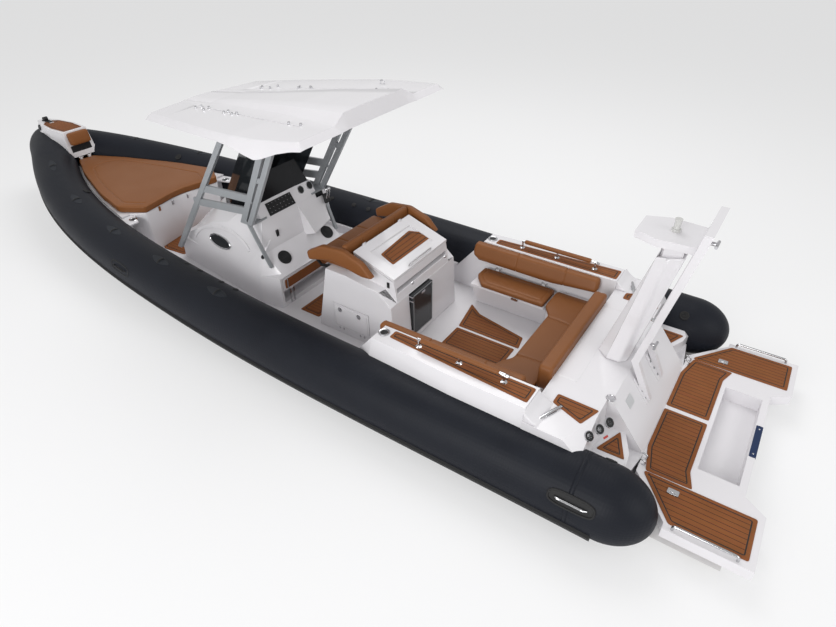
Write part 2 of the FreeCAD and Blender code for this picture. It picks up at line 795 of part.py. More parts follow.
def helm_bolster():
    ring = [(2960, 735), (3100, 880), (3350, 960), (3640, 930), (3860, 800), (3840, 700), (3500, 790),
            (3100, 720)]
    return prism_y(ring, 580, 665)


def seat_brackets():
    a = prism_y([(3560, 600), (3800, 560), (3880, 640), (3860, 655), (3790, 590), (3560, 630)], 500, 520)
    a = a.cut(post_body()).cut(helm_seat())
    return Part.makeCompound([a, mirror(a)])


# Console
CONSOLE_WALL = 36.0
CONSOLE_AFT = 4390.0
# Console sections from forward to aft: station, then half-breadth and height of each corner,
# from the sole round to the centreline
CONSOLE_ROWS = [(6450, [(492, FLOOR), (478, 150), (440, 175), (330, 190), (200, 195), (0, 200)]),
                (6020, [(545, FLOOR), (528, 160), (500, 380), (400, 440), (200, 560), (0, 600)]),
                (5660, [(585, FLOOR), (568, 172), (500, 590), (400, 670), (200, 830), (0, 880)]),
                (5320, [(630, FLOOR), (615, 180), (505, 690), (400, 790), (200, 940), (0, 970)]),
                (5150, [(648, FLOOR), (633, 185), (505, 640), (430, 840), (200, 980), (0, 1000)]),
                (4950, [(675, FLOOR), (662, 195), (520, 470), (430, 900), (200, 1015), (0, 1020)]),
                (4810, [(694, FLOOR), (682, 203), (545, 450), (475, 1010), (200, 1020), (0, 1020)]),
                (4725, [(702, FLOOR), (692, 207), (560, 446), (475, 850), (200, 850), (0, 850)]),
                (4680, [(706, FLOOR), (697, 209), (562, 444), (430, 600), (200, 600), (0, 600)]),
                (4665, [(707, FLOOR), (698, 210), (560, 442), (450, 471), (200, 471), (0, 471)]),
                (4434, [(668, FLOOR), (652, 253), (560, 257), (450, 258), (200, 258), (0, 258)]),
                (CONSOLE_AFT, [(655, FLOOR), (640, 228), (560, 230), (450, 232), (200, 232), (0, 232)])]
RECESS_HALF = 610.0
RECESS_FWD = 4560.0
RECESS_Z0, RECESS_Z1 = -120.0, 215.0


@once
def console_solid():
    """The console's outer form, filled."""
    shell = loft([[(x, y, z) for y, z in both_ends(row)] for x, row in CONSOLE_ROWS])
    pod = loft([[(4722, y, 820), (aft, y, 500), (4700, y, 400)] for y, aft in ((-120, 4460), (-530, 4570))])
    shoulder = prism_y([(4640, 430), (4712, 800), (4735, 860), (4920, 860), (4980, 470)], -650, -400)
    return join([shell, pod, shoulder])


def both_ends(row):
    return row + [(-y, z) for y, z in reversed(row) if y > 0]


def console_room():
    """The space inside the console, one wall in from its outer form and from the foot recess."""
    t = CONSOLE_WALL
    rings = []
    for x, row in CONSOLE_ROWS:
        if RECESS_FWD + t < x < 4800 or x < RECESS_FWD:
            continue
        x = min(x, CONSOLE_ROWS[0][0] - t)
        half = [(max(y - t, 0), z - 2 * t if z > FLOOR else z) for y, z in row]
        rings.append([(x, y, z) for y, z in both_ends(half)])
    return loft(rings)


@once
def console():
    """Moulded console: a plinth, a humped roof, a dash pod over a ledge and a recess for the feet."""
    recess = box(CONSOLE_AFT - 50, RECESS_FWD, -RECESS_HALF, RECESS_HALF, RECESS_Z0, RECESS_Z1)
    return console_solid().cut(console_room()).cut(recess)


def windscreen():
    """Wrap-round screen of tinted sheet, leaning aft, its foot let into the console's roof."""
    t = 8
    def row(z, outer):
        inner = [(x - t, max(y - t, 0)) for x, y in outer]
        line = outer + [(x, -y) for x, y in reversed(outer) if y > 0]
        back = inner + [(x, -y) for x, y in reversed(inner) if y > 0]
        return [(x, y, z) for x, y in line + list(reversed(back))]
    low = [(5080, 430), (5420, 400), (5720, 200), (5770, 0)]
    high = [(4576, 400), (4916, 370), (5216, 180), (5266, 0)]
    return loft([row(760, low), row(1560, high)]).cut(console_solid())


DASH_TOP = (4812.0, 1020.0)


def dash_screen():
    """Large glass display standing on the dash's top edge, narrower at its top."""
    x, z = DASH_TOP
    rise, run, t = 320, 35, 14
    low = [(x, 365, z), (x, -435, z), (x + t, -435, z), (x + t, 365, z)]
    high = [(x + run, 130, z + rise), (x + run, -285, z + rise), (x + run + t, -285, z + rise),
            (x + run + t, 130, z + rise)]
    return loft([low, high]).cut(console_solid())


# Fittings on the console: speakers on the ledge, oval portlights in the sides, panels on the dash
SLOPE = V(-0.678, 0, 0.735)


def speakers():
    discs = [Part.makeCylinder(88, 40, V(4547, y, 362) - SLOPE * 30, SLOPE) for y in (372, -408)]
    return Part.makeCompound([d.cut(console_solid()) for d in discs])


def portlights():
    out = V(0.08, 0.97, 0.21).normalize()
    centre = V(5490, 557, 384)
    along = V(-1, 0, 0) + out * 0.08
    ring = Part.Ellipse(centre + along.normalize() * 205, centre + out.cross(along).normalize() * 78, centre)
    disc = Part.Face(Part.Wire(ring.toShape())).extrude(out * 14)
    disc.translate(out * -2)
    return Part.makeCompound([disc.cut(console_solid()), mirror(disc).cut(console_solid())])


def dash_panels():
    """Switch panel, two gauges, a key panel and the console's socket, each proud of the dash."""
    face_out = V(-0.887, 0, 0.46)
    corners = [V(4797, 328, 989), V(4797, -86, 989), V(4725, -98, 851), V(4725, 335, 851)]
    plates = [face(corners).extrude(face_out * 8)]
    plates += [Part.makeCylinder(50, 30, V(4781, y, 955) - face_out * 22, face_out) for y in (-265, -425)]
    plates.append(box(4672, 4690, 288, 326, 588, 668))
    return Part.makeCompound([p.cut(console_solid()) for p in plates])


FOOT_AXIS = V(4380, 0, 40)


@once
def footrest_hinge():
    x, z = FOOT_AXIS.x, FOOT_AXIS.z
    return hinge(FOOT_AXIS, V(0, 1, 0), (-480, 480), 4,
                 lambda a, b: box(x - 3, x + 8, a, b, z, z + 18),
                 lambda a, b: box(x - 3, x + 17, a, b, RECESS_Z0 - 40, z))


def footrest():
    """Fold-down step, stowed upright in the mouth of the recess."""
    board = box(4386, 4411, -RECESS_HALF + 8, RECESS_HALF - 8, 45, 208)
    return hung(board, footrest_hinge())


# T-top
def frame_side():
    """Welded side frame: a front post, a pair of aft rails, two cross plates and a thin brace."""
    def y_at(z):
        return 583 + 0.044 * z
    def bar(x0, z0, x1, z1, wide, high=0):
        """Bar between two points of the frame, cut level, or cut upright where it has a height."""
        rings = []
        for x, z in ((x0, z0), (x1, z1)):
            if high:
                corners = [(x, z), (x, z - high)]
                ring = [(x, y_at(q) + s, q) for (x, q), s in zip(corners * 2, (-15, -15, 15, 15))]
                rings.append([ring[0], ring[1], ring[3], ring[2]])
            else:
                rings.append([(x + a, y_at(z) + b, z) for a, b in ((-wide / 2, -20), (wide / 2, -20),
                              (wide / 2, 20), (-wide / 2, 20))])
        return loft(rings)
    front = bar(6360, 60, 4615, TOP_Z, 84)
    rail_fwd = bar(4859, 860, 4090, TOP_Z, 88)
    rail_aft = bar(4750, 860, 3958, TOP_Z, 76)
    brace = bar(4550, 330, 4800, 900, 34)
    flange = box(4715, 4900, 395, 640, 852, 870)
    plates = [bar(5490, 1192, 4620, 1258, 0, 95), bar(5720, 965, 4780, 1075, 0, 95)]
    ties = [bar(4480, 1500, 4400, 1520, 0, 60), bar(4230, 1940, 4130, 1960, 0, 60)]
    return join([front, rail_fwd, rail_aft, brace, flange] + plates + ties)


def hardtop():
    """Moulded top: a level underside, a skirt that droops at the aft corners and a raised dome."""
    z = TOP_Z
    rows = [[(3300, 0, z), (3300, 1000, z), (3700, 1100, z), (4120, 1180, z), (5000, 1180, z),
             (5150, 650, z), (5190, 0, z)],
            [(3237, 0, z), (3237, 1150, z - 4), (3670, 1347, z - 100), (4123, 1336, z), (5124, 1346, z),
             (5230, 700, z), (5260, 0, z)],
            [(3296, 0, z + 60), (3296, 1123, z + 54), (3690, 1275, z + 73), (4140, 1280, z + 70),
             (5155, 1260, z + 52), (5205, 700, z + 60), (5230, 0, z + 64)],
            [(3300, 0, z + 68), (3300, 549, z + 68), (3700, 720, z + 86), (4140, 850, z + 92),
             (5000, 978, z + 84), (5150, 560, z + 72), (5180, 0, z + 72)],
            [(3330, 0, z + 143), (3330, 501, z + 143), (3700, 560, z + 150), (4140, 610, z + 150),
             (4820, 560, z + 142), (4990, 380, z + 130), (5030, 0, z + 130)]]
    return loft([half + [(x, -y, q) for x, y, q in reversed(half) if y > 0] for half in rows])


# Deck teak and hardware
def deck_teak():
    strip = prism_z([(921, 1030), (921, 1229), (2392, 1141), (2392, 1030)], COAMING_Z, COAMING_Z + TEAK_T)
    quarter = prism_z([(780, 870), (408, 877), (487, 1105), (782, 994)], QUARTER_Z, QUARTER_Z + TEAK_T)
    tri = prism_z([(347, 1003), (226, 700), (99, 996)], STEP_Z, STEP_Z + TEAK_T)
    halves = [strip, quarter, tri]
    return Part.makeCompound(halves + [mirror(h) for h in halves])


def floor_teak():
    mid = prism_z([(1651, 183), (2400, 183), (2400, -183), (1651, -183)], FLOOR, FLOOR + TEAK_T)
    side = prism_z([(1620, 215), (2400, 215), (2490, 700), (2300, 560), (1660, 420)], FLOOR, FLOOR + TEAK_T)
    bow = both([(6520, 480), (6900, 520), (7090, 420), (7280, 250), (7340, 0)])
    fwd = prism_z(bow, FLOOR, FLOOR + TEAK_T)
    helm = prism_z([(3900, 560), (4200, 560), (4200, -560), (3900, -560)], FLOOR, FLOOR + TEAK_T)
    return Part.makeCompound([mid, side, mirror(side), fwd, helm])


def hand_rails():
    feet = [1153, 1641, 2115]
    y = 1108
    parts = []
    bar = Part.makeCylinder(14, feet[-1] - feet[0] - 60, V(feet[0] + 30, y, COAMING_Z + 90), V(1, 0, 0))
    posts = [Part.makeCylinder(11, 88, V(x + dx, y, COAMING_Z + TEAK_T))
             for x, dx in zip(feet, (40, 0, -40))]
    rail = join([bar] + posts)
    return Part.makeCompound([rail, mirror(rail)])


def save(name, shape):
    moved = shape.copy()
    moved.translate(V(-AMIDSHIPS, 0, FREEBOARD))
    kids = moved.Solids
    print(f"{name:20s} solids {len(kids)} volume {moved.Volume / 1e9:.4f} m3 valid {moved.isValid()}")
    moved.exportStep("parts/" + name + ".step")


os.makedirs("parts", exist_ok=True)
save("tube_port", TUBE_PORT)
save("tube_starboard", mirror(TUBE_PORT))
band = strake()
save("strake_port", band)
save("strake_starboard", mirror(band))
for name, make in [("hull", hull), ("cockpit_floor", floor), ("bow_locker", bow_locker),
                   ("bow_lid", bow_lid), ("sunpad", sunpad), ("bow_step", bow_step),
                   ("bow_step_teak", bow_step_teak), ("bow_backrest", bow_backrest),
                   ("bow_fittings", bow_fittings), ("aft_deck", aft_deck), ("sofa_base", sofa_base),
                   ("sofa_seat", sofa_seat), ("sofa_backrest", sofa_backrest),
                   ("fold_box", fold_box), ("fold_seat", fold_seat),
                   ("fold_cushion", fold_cushion), ("swim_platform", platform),
                   ("platform_teak", platform_teak), ("engine_pad", engine_pad),
                   ("platform_rails", platform_rails), ("mast_frame", mast_frame),
                   ("mast_fairing", mast_fairing), ("mast_shelf", mast_shelf),
                   ("anchor_light", anchor_light), ("tow_bollards", tow_bollards),
                   ("post_body", post_body), ("post_lid", post_lid), ("fridge_body", fridge_body),
                   ("fridge_door", fridge_door), ("post_hatch", post_hatches), ("helm_seat", helm_seat),
                   ("helm_back", helm_back), ("seat_brackets", seat_brackets), ("console", console),
                   ("windscreen", windscreen), ("dash_screen", dash_screen), ("speakers", speakers),
                   ("portlights", portlights), ("dash_panels", dash_panels), ("footrest", footrest),
                   ("hardtop", hardtop), ("lid_handle", lid_handle), ("deck_teak", deck_teak),
                   ("floor_teak", floor_teak), ("hand_rails", hand_rails)]:
    save(name, make())
for name, make in [("coaming", coaming), ("side_bolster", side_bolster), ("liner", liner),
                   ("helm_bolster", helm_bolster)]:
    half = make()
    save(name + "_port", half)
    save(name + "_starboard", mirror(half))
save("top_frame_port", frame_side().cut(console_solid()))
save("top_frame_starboard", mirror(frame_side()).cut(console_solid()))
save("hinges", Part.makeCompound([held(lid_hinge(), post_body()), held(fridge_hinge(), post_body()),
                                  held(hatch_hinge(), post_body()), held(footrest_hinge(), console()),
                                  held(seat_hinge(), mirror(coaming())), held(bow_hinge(), bow_locker())]))
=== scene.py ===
import math

import bmesh
import bpy
import numpy as np
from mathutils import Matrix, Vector
from mathutils.geometry import delaunay_2d_cdt


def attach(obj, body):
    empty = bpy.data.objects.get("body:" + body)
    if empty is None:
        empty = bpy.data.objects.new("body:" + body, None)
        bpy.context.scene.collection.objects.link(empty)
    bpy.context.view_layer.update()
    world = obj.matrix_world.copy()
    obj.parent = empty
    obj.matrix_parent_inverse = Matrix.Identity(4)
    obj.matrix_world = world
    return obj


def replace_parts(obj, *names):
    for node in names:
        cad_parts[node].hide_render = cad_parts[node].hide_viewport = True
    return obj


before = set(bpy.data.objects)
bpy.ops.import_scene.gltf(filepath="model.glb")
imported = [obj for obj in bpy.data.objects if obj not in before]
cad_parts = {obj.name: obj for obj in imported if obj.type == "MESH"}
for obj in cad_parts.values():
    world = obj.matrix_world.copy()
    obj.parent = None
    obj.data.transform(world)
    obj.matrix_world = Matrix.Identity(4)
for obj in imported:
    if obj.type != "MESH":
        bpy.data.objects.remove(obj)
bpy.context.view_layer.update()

# Hull. A moulded glass-fibre bottom in white gelcoat that carries the whole boat. Its sides are
# polished, and a faint brown film has settled on them just above the water.
mix_from, mix_to, mixed_out = 6, 7, 2  # the mix node's colour sockets, whose names repeat


def new_node(tree, kind, values=None, **settings):
    """A new shader node, with values put on its inputs and settings on itself."""
    made = tree.nodes.new("ShaderNode" + kind)
    for setting, value in settings.items():
        setattr(made, setting, value)
    for socket, value in (values or {}).items():
        made.inputs[socket].default_value = value
    return made


def wire(tree, *pairs):
    """Links the output in each pair to its input."""
    for source, target in pairs:
        tree.links.new(source, target)


def finish(name, colour, shade, rough, patch=1.6, grain=120.0, depth=0.0002, spread=0.05, **fixed):
    """Slow noise carries the colour towards its shade, finer noise moves the roughness by the spread
    and raises a relief of the depth in metres. The other values go straight onto the shader."""
    made = bpy.data.materials.new(name)
    made.use_nodes = True
    tree = made.node_tree
    shader = tree.nodes["Principled BSDF"]
    place = new_node(tree, "TexCoord").outputs["Object"]
    slow = new_node(tree, "TexNoise", {"Scale": patch, "Detail": 5.0})
    fine = new_node(tree, "TexNoise", {"Scale": grain, "Detail": 3.0})
    blend = new_node(tree, "Mix", {mix_from: (*colour, 1.0), mix_to: (*shade, 1.0)}, data_type="RGBA")
    sheen = new_node(tree, "MapRange", {"To Min": max(rough - spread, 0.0), "To Max": rough + spread})
    bump = new_node(tree, "Bump", {"Distance": depth})
    wire(tree, (place, slow.inputs["Vector"]), (place, fine.inputs["Vector"]),
         (slow.outputs["Fac"], blend.inputs[0]), (slow.outputs["Fac"], sheen.inputs["Value"]),
         (fine.outputs["Fac"], bump.inputs["Height"]),
         (blend.outputs[mixed_out], shader.inputs["Base Color"]),
         (sheen.outputs["Result"], shader.inputs["Roughness"]),
         (bump.outputs["Normal"], shader.inputs["Normal"]))
    for socket, value in fixed.items():
        shader.inputs[socket.replace("_", " ")].default_value = value
    return made


def dress(coat, *nodes):
    """Every slot of each solid takes the finish."""
    for node in nodes:
        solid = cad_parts[node]
        if not solid.material_slots:
            solid.data.materials.append(coat)
        for place in solid.material_slots:
            place.material = coat


def stained(coat, low, high, film):
    """Mixes a film of dirt over a finish: full at the low height, gone at the high one, and broken
    up by streaky noise."""
    tree = coat.node_tree
    colour = tree.nodes["Principled BSDF"].inputs["Base Color"]
    clean = colour.links[0].from_socket
    place = new_node(tree, "TexCoord").outputs["Object"]
    axes = new_node(tree, "SeparateXYZ")
    fade = new_node(tree, "MapRange", {"From Min": high, "From Max": low}, interpolation_type="SMOOTHSTEP")
    streak = new_node(tree, "TexNoise", {"Scale": 14.0, "Detail": 6.0})
    amount = new_node(tree, "Math", operation="MULTIPLY")
    over = new_node(tree, "Mix", {mix_to: (*film, 1.0)}, data_type="RGBA")
    wire(tree, (place, axes.inputs[0]), (axes.outputs["Z"], fade.inputs["Value"]),
         (place, streak.inputs["Vector"]), (fade.outputs["Result"], amount.inputs[0]),
         (streak.outputs["Fac"], amount.inputs[1]), (amount.outputs[0], over.inputs[0]),
         (clean, over.inputs[mix_from]), (over.outputs[mixed_out], colour))
    return coat


gelcoat = finish("gelcoat_white", (0.725, 0.712, 0.73), (0.68, 0.665, 0.688), 0.24, depth=0.00008,
                 Coat_Weight=0.35, Coat_Roughness=0.08)
white_on_boat = "boat", "gelcoat", [gelcoat]
bottom_gelcoat = stained(finish("gelcoat_bottom", (0.70, 0.69, 0.70), (0.62, 0.61, 0.61), 0.3), -0.15, 0.2,
                         (0.38, 0.31, 0.19))
dress(bottom_gelcoat, "hull")

# Rubbing strakes. Extruded black rubber, ribbed lengthwise, glued round the outer side of the tubes
# at their widest, to take the knocks of a quay.
strake_rubber = finish("strake_rubber", (0.009, 0.009, 0.010), (0.018, 0.018, 0.018), 0.6, patch=6.0,
                       grain=260.0, depth=0.0006, spread=0.1, Specular_IOR_Level=0.3)
dress(strake_rubber, "strake_port", "strake_starboard")

# Tubes. Coated fabric, cut in long panels and glued over one another with taped seams. The fabric has
# a fine weave under its dull coating, and lens-shaped wear patches lie along the top.


def woven(coat, pitch, depth):
    """Adds a plain weave to a finish: two waves across one another, one pitch apart, on the relief."""
    tree = coat.node_tree
    bump = next(n for n in tree.nodes if n.type == "BUMP")
    total = bump.inputs["Height"].links[0].from_socket
    place = new_node(tree, "TexCoord").outputs["Object"]
    for way in ("X", "Z"):
        wave = new_node(tree, "TexWave", {"Scale": 1.0 / (20.0 * pitch), "Distortion": 0.6},
                        bands_direction=way)
        add = new_node(tree, "Math", operation="ADD")
        wire(tree, (place, wave.inputs["Vector"]), (total, add.inputs[0]),
             (wave.outputs["Fac"], add.inputs[1]))
        total = add.outputs[0]
    bump.inputs["Distance"].default_value = depth
    tree.links.new(total, bump.inputs["Height"])
    return coat


tube_fabric = woven(finish("tube_fabric", (0.0065, 0.0075, 0.0115), (0.0125, 0.0145, 0.0205), 0.5, patch=2.2,
                           grain=420.0, spread=0.09, Specular_IOR_Level=0.16), 0.004, 0.00035)
stained(tube_fabric, -0.05, 0.25, (0.045, 0.043, 0.04))
patch_fabric = woven(finish("patch_fabric", (0.0145, 0.017, 0.0225), (0.021, 0.024, 0.03), 0.6, patch=9.0,
                            grain=300.0, Specular_IOR_Level=0.25), 0.003, 0.0004)
dress(tube_fabric, "tube_port", "tube_starboard")
tube_stations = np.array([(110, 1390, 50), (2000, 1408, 70), (4000, 1400, 100), (5500, 1322, 140),
                          (6800, 1200, 200), (7900, 1005, 275), (8800, 735, 370), (9500, 425, 465),
                          (10000, 175, 515), (10320, 0, 530)], float)
tube_radius = 315.0
patch_stations, patch_angle = (4555, 5604, 6668, 7789, 8921), math.radians(84)
sides = ((1, "port"), (-1, "starboard"))
amidships, freeboard = 4.7, 0.28


def station(points):
    """Build millimetres, x from the transom and z from the swim platform's top, as metres in the
    shared frame, whose middle is amidships at the water."""
    return np.asarray(points, float) / 1000.0 + (-amidships, 0.0, freeboard)


def tube_line(x):
    """The port tube's centre at stations: half-breadth, height, and how far it runs out per length."""
    y, z = (np.interp(x, tube_stations[:, 0], tube_stations[:, k]) for k in (1, 2))
    run = np.gradient(tube_stations[:, 1]) / np.gradient(tube_stations[:, 0])
    return y, z, np.interp(x, tube_stations[:, 0], run)


def tube_skin(x, angle, proud, side):
    """Points round a tube: its line's centre at x, plus the radius turned from level outboard by the
    angle upwards. The ring stands square to the line seen from above."""
    y, z, lead = tube_line(x)
    size = np.hypot(1.0, lead)
    reach = (tube_radius + proud) * np.cos(angle)
    return np.stack([x - lead / size * reach, side * (y + reach / size),
                     z + (tube_radius + proud) * np.sin(angle)], axis=-1)


def grid_faces(rows, columns, closed=False):
    """Four-cornered faces over a grid of points numbered row by row, with the columns joined into a
    ring when closed."""
    last = columns if closed else columns - 1
    r, c = np.meshgrid(np.arange(rows - 1), np.arange(last), indexing="ij")
    n = (c + 1) % columns
    return np.stack([r * columns + c, r * columns + n, (r + 1) * columns + n, (r + 1) * columns + c],
                    axis=-1).reshape(-1, 4)


def piece(name, shapes, body, slot, coats, marks=None, crease=32.0):
    """One object from several shapes, each a pair of points in build millimetres and a list of face
    arrays. Doubled points are merged and faces turned outwards."""
    points, faces, count = [], [], 0
    for verts, arrays in shapes:
        points.append(np.asarray(verts, float).reshape(-1, 3))
        for array in arrays:
            faces += (np.asarray(array) + count).tolist()
        count += len(points[-1])
    merge_within = 0.00003
    mesh = bpy.data.meshes.new(name)
    mesh.from_pydata(station(np.concatenate(points)).tolist(), [], faces)
    for coat in coats:
        mesh.materials.append(coat)
    if marks is not None:
        mesh.polygons.foreach_set("material_index", np.asarray(marks, np.int32))
    work = bmesh.new()
    work.from_mesh(mesh)
    bmesh.ops.remove_doubles(work, verts=work.verts, dist=merge_within)
    bmesh.ops.recalc_face_normals(work, faces=work.faces)
    work.to_mesh(mesh)
    work.free()
    mesh.shade_smooth()
    mesh.set_sharp_from_angle(angle=math.radians(crease))
    made = bpy.data.objects.new(name, mesh)
    bpy.context.scene.collection.objects.link(made)
    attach(made, body)
    return made


def laid_on(made, node, proud):
    """Moves each point of a thin piece to the nearest place on a solid, lifted by the height, and
    fills most of that height with a wall."""
    wrap = made.modifiers.new("laid", "SHRINKWRAP")
    wrap.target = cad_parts[node]
    wrap.wrap_method = "NEAREST_SURFACEPOINT"
    wrap.wrap_mode = "ABOVE_SURFACE"
    wrap.offset = proud
    settled = bpy.data.meshes.new_from_object(made.evaluated_get(bpy.context.evaluated_depsgraph_get()))
    made.modifiers.clear()
    made.data = settled
    wall = made.modifiers.new("wall", "SOLIDIFY")
    wall.thickness = proud * 0.9
    wall.offset = -1.0
    return made


def lens(x0, length, middle, width, side):
    """A patch as long as given along the tube, whose half-width is the cosine of its way along."""
    u, v = np.meshgrid(np.linspace(-1, 1, 25), np.linspace(-1, 1, 9), indexing="ij")
    half = width / 2 / tube_radius * np.cos(u * math.pi / 2) ** 0.7
    return tube_skin(x0 + u * length / 2, middle + v * half, 3.0, side), [grid_faces(25, 9)]


def band(x0, width, start, end, side):
    """A strip round the tube at one station between two angles."""
    u, v = np.meshgrid(np.linspace(start, end, 60), np.linspace(-0.5, 0.5, 3), indexing="ij")
    return tube_skin(x0 + v * width, u, 3.0, side), [grid_faces(60, 3)]


for side, name in sides:
    patches = [lens(x, 330, patch_angle, 105, side) for x in patch_stations]
    laid_on(piece(f"wear_patches_{name}", patches, "boat", "tube_fabric", [patch_fabric]), f"tube_{name}",
            0.0022)
    seams = [band(330, 38, math.radians(-38), math.radians(142), side)]
    laid_on(piece(f"tube_seams_{name}", seams, "boat", "tube_fabric", [tube_fabric]), f"tube_{name}", 0.0016)

# Deck mouldings. White gelcoat parts laid up in their own moulds and bonded to the hull: the sole, the
# side decks, the aft deck with its steps, the swim platform and the locker under the folding seat.
# Their corners are rounded as a mould leaves them, and the sole and the platform have a fine grip.


def moulded(node, width, body="boat", coat=None, segments=3):
    """A copy of a solid with its triangles' doubled points merged, level neighbours joined and every
    edge sharper than 35 degrees rounded to the width in metres. It replaces the solid."""
    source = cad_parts[node].data
    join_below, round_above, smooth_below = (math.radians(t) for t in (0.6, 35, 40))
    points = np.empty(len(source.vertices) * 3, np.float32)
    source.vertices.foreach_get("co", points)
    corners = np.empty(len(source.loops), np.int32)
    source.loops.foreach_get("vertex_index", corners)
    mesh = bpy.data.meshes.new(f"{node}_shell")
    mesh.from_pydata(points.reshape(-1, 3).tolist(), [], corners.reshape(-1, 3).tolist())
    mesh.materials.append(coat or gelcoat)
    work = bmesh.new()
    work.from_mesh(mesh)
    bmesh.ops.remove_doubles(work, verts=work.verts, dist=0.00002)
    bmesh.ops.dissolve_limit(work, angle_limit=join_below, verts=work.verts, edges=work.edges)
    work.to_mesh(mesh)
    work.free()
    mesh.shade_smooth()
    mesh.set_sharp_from_angle(angle=smooth_below)
    made = bpy.data.objects.new(f"{node}_shell", mesh)
    bpy.context.scene.collection.objects.link(made)
    soft = made.modifiers.new("corners", "BEVEL")
    soft.width = width
    soft.segments = segments
    soft.limit_method = "ANGLE"
    soft.angle_limit = round_above
    soft.harden_normals = True
    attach(made, body)
    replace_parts(made, node)
    return made


grip_gelcoat = finish("gelcoat_grip", (0.73, 0.715, 0.735), (0.685, 0.67, 0.69), 0.42, grain=520.0,
                      depth=0.0005, spread=0.04)
dress(grip_gelcoat, "cockpit_floor")
dress(gelcoat, "liner_port", "liner_starboard", "sofa_base")
moulded("swim_platform", 0.014, coat=grip_gelcoat)
moulded("fold_box", 0.012)
for side, name in sides:
    moulded(f"coaming_{name}", 0.028, segments=4)


def sliced(made, level, normal):
    """Cuts away what lies on the normal's side of a plane and closes the cut with flat faces."""
    work = bmesh.new()
    work.from_mesh(made.data)
    cut = bmesh.ops.bisect_plane(work, geom=work.verts[:] + work.edges[:] + work.faces[:],
                                 plane_co=station(level).tolist(), plane_no=normal, clear_outer=True,
                                 dist=0.00001)
    bmesh.ops.holes_fill(work, edges=[e for e in cut["geom_cut"] if isinstance(e, bmesh.types.BMEdge)])
    work.to_mesh(made.data)
    work.free()


socket_facet = (352, 1013, 390), (-0.65, 0.25, 0.72)
deck_shell = moulded("aft_deck", 0.016)
for side in (1, -1):
    sliced(deck_shell, *((x, side * y, z) for x, y, z in socket_facet))

# Teak-look foam. Closed-cell foam sheet, brown over black, with the black cut free as caulking lines
# about 50 mm apart and as a groove inside a plain border. Each sheet is glued flat to the deck.


def soft_line(corners, radius, step, closed=True):
    """A line through the corners, sampled about every 2 mm and thinned to one point a step. Between
    the two, each sample twice becomes the mean of those up to half the radius away on either side,
    which rounds the corners."""
    corners = np.asarray(corners, float)
    if closed:
        corners = np.vstack([corners, corners[:1]])
    way = np.r_[0, np.cumsum(np.linalg.norm(np.diff(corners, axis=0), axis=1))]
    count = int(way[-1] / 2) + 1
    at = np.linspace(0, way[-1], count, endpoint=not closed)
    line = np.stack([np.interp(at, way, corners[:, k]) for k in range(corners.shape[1])], axis=1)
    reach = max(1, int(radius / 4))
    window = np.ones(2 * reach + 1) / (2 * reach + 1)
    for _ in range(2):
        ends = ((line[-reach:], line[:reach]) if closed else
                (2 * line[0] - line[reach:0:-1], 2 * line[-1] - line[-2:-reach - 2:-1]))
        wide = np.concatenate([ends[0], line, ends[1]])
        line = np.stack([np.convolve(wide[:, k], window, "valid") for k in range(line.shape[1])], axis=1)
    keep = np.linspace(0, count - 1, max(8, int(way[-1] / step)) + 1).round().astype(int)
    return line[keep[:-1] if closed else keep]


def shrunk(corners, inset):
    """A closed shape whose every side has moved inwards by the inset, up to where they meet."""
    corners = np.asarray(corners, float)
    if np.sum(corners[:, 0] * np.roll(corners[:, 1], -1) - np.roll(corners[:, 0], -1) * corners[:, 1]) < 0:
        corners = corners[::-1]
    side = np.roll(corners, -1, axis=0) - corners
    side /= np.linalg.norm(side, axis=1)[:, None]
    before = np.roll(side, 1, axis=0)
    normal, earlier = (np.stack([-s[:, 1], s[:, 0]], axis=1) for s in (side, before))
    return corners + inset * (normal + earlier) / (1 + np.sum(normal * earlier, axis=1))[:, None]


def gap_to(points, line, closed=True):
    """Each point's distance from the nearest stretch of a line."""
    a = line if closed else line[:-1]
    b = np.roll(line, -1, axis=0) if closed else line[1:]
    run = b - a
    along = np.einsum("pk,sk->ps", points, run) - np.sum(a * run, axis=1)
    along = np.clip(along / np.maximum(np.sum(run * run, axis=1), 1e-9), 0, 1)
    return np.min(np.hypot(points[:, None, 0] - a[:, 0] - along * run[:, 0],
                           points[:, None, 1] - a[:, 1] - along * run[:, 1]), axis=1)


def inside(points, line):
    """True where a point lies within a closed line, by counting the sides crossed to its right."""
    a, b = line, np.roll(line, -1, axis=0)
    level = (a[:, 1] > points[:, None, 1]) != (b[:, 1] > points[:, None, 1])
    rise = np.where(np.abs(b[:, 1] - a[:, 1]) < 1e-9, 1e-9, b[:, 1] - a[:, 1])
    cross = a[:, 0] + (points[:, None, 1] - a[:, 1]) / rise * (b[:, 0] - a[:, 0])
    return np.sum(level & (points[:, None, 0] < cross), axis=1) % 2 == 1


def offset_line(line, inset, closed=True):
    """A line whose points have moved to its left by the inset, square to its run there."""
    run = np.roll(line, -1, axis=0) - np.roll(line, 1, axis=0) if closed else np.gradient(line, axis=0)
    run /= np.maximum(np.linalg.norm(run, axis=1), 1e-9)[:, None]
    return line + inset * np.stack([-run[:, 1], run[:, 0]], axis=1)


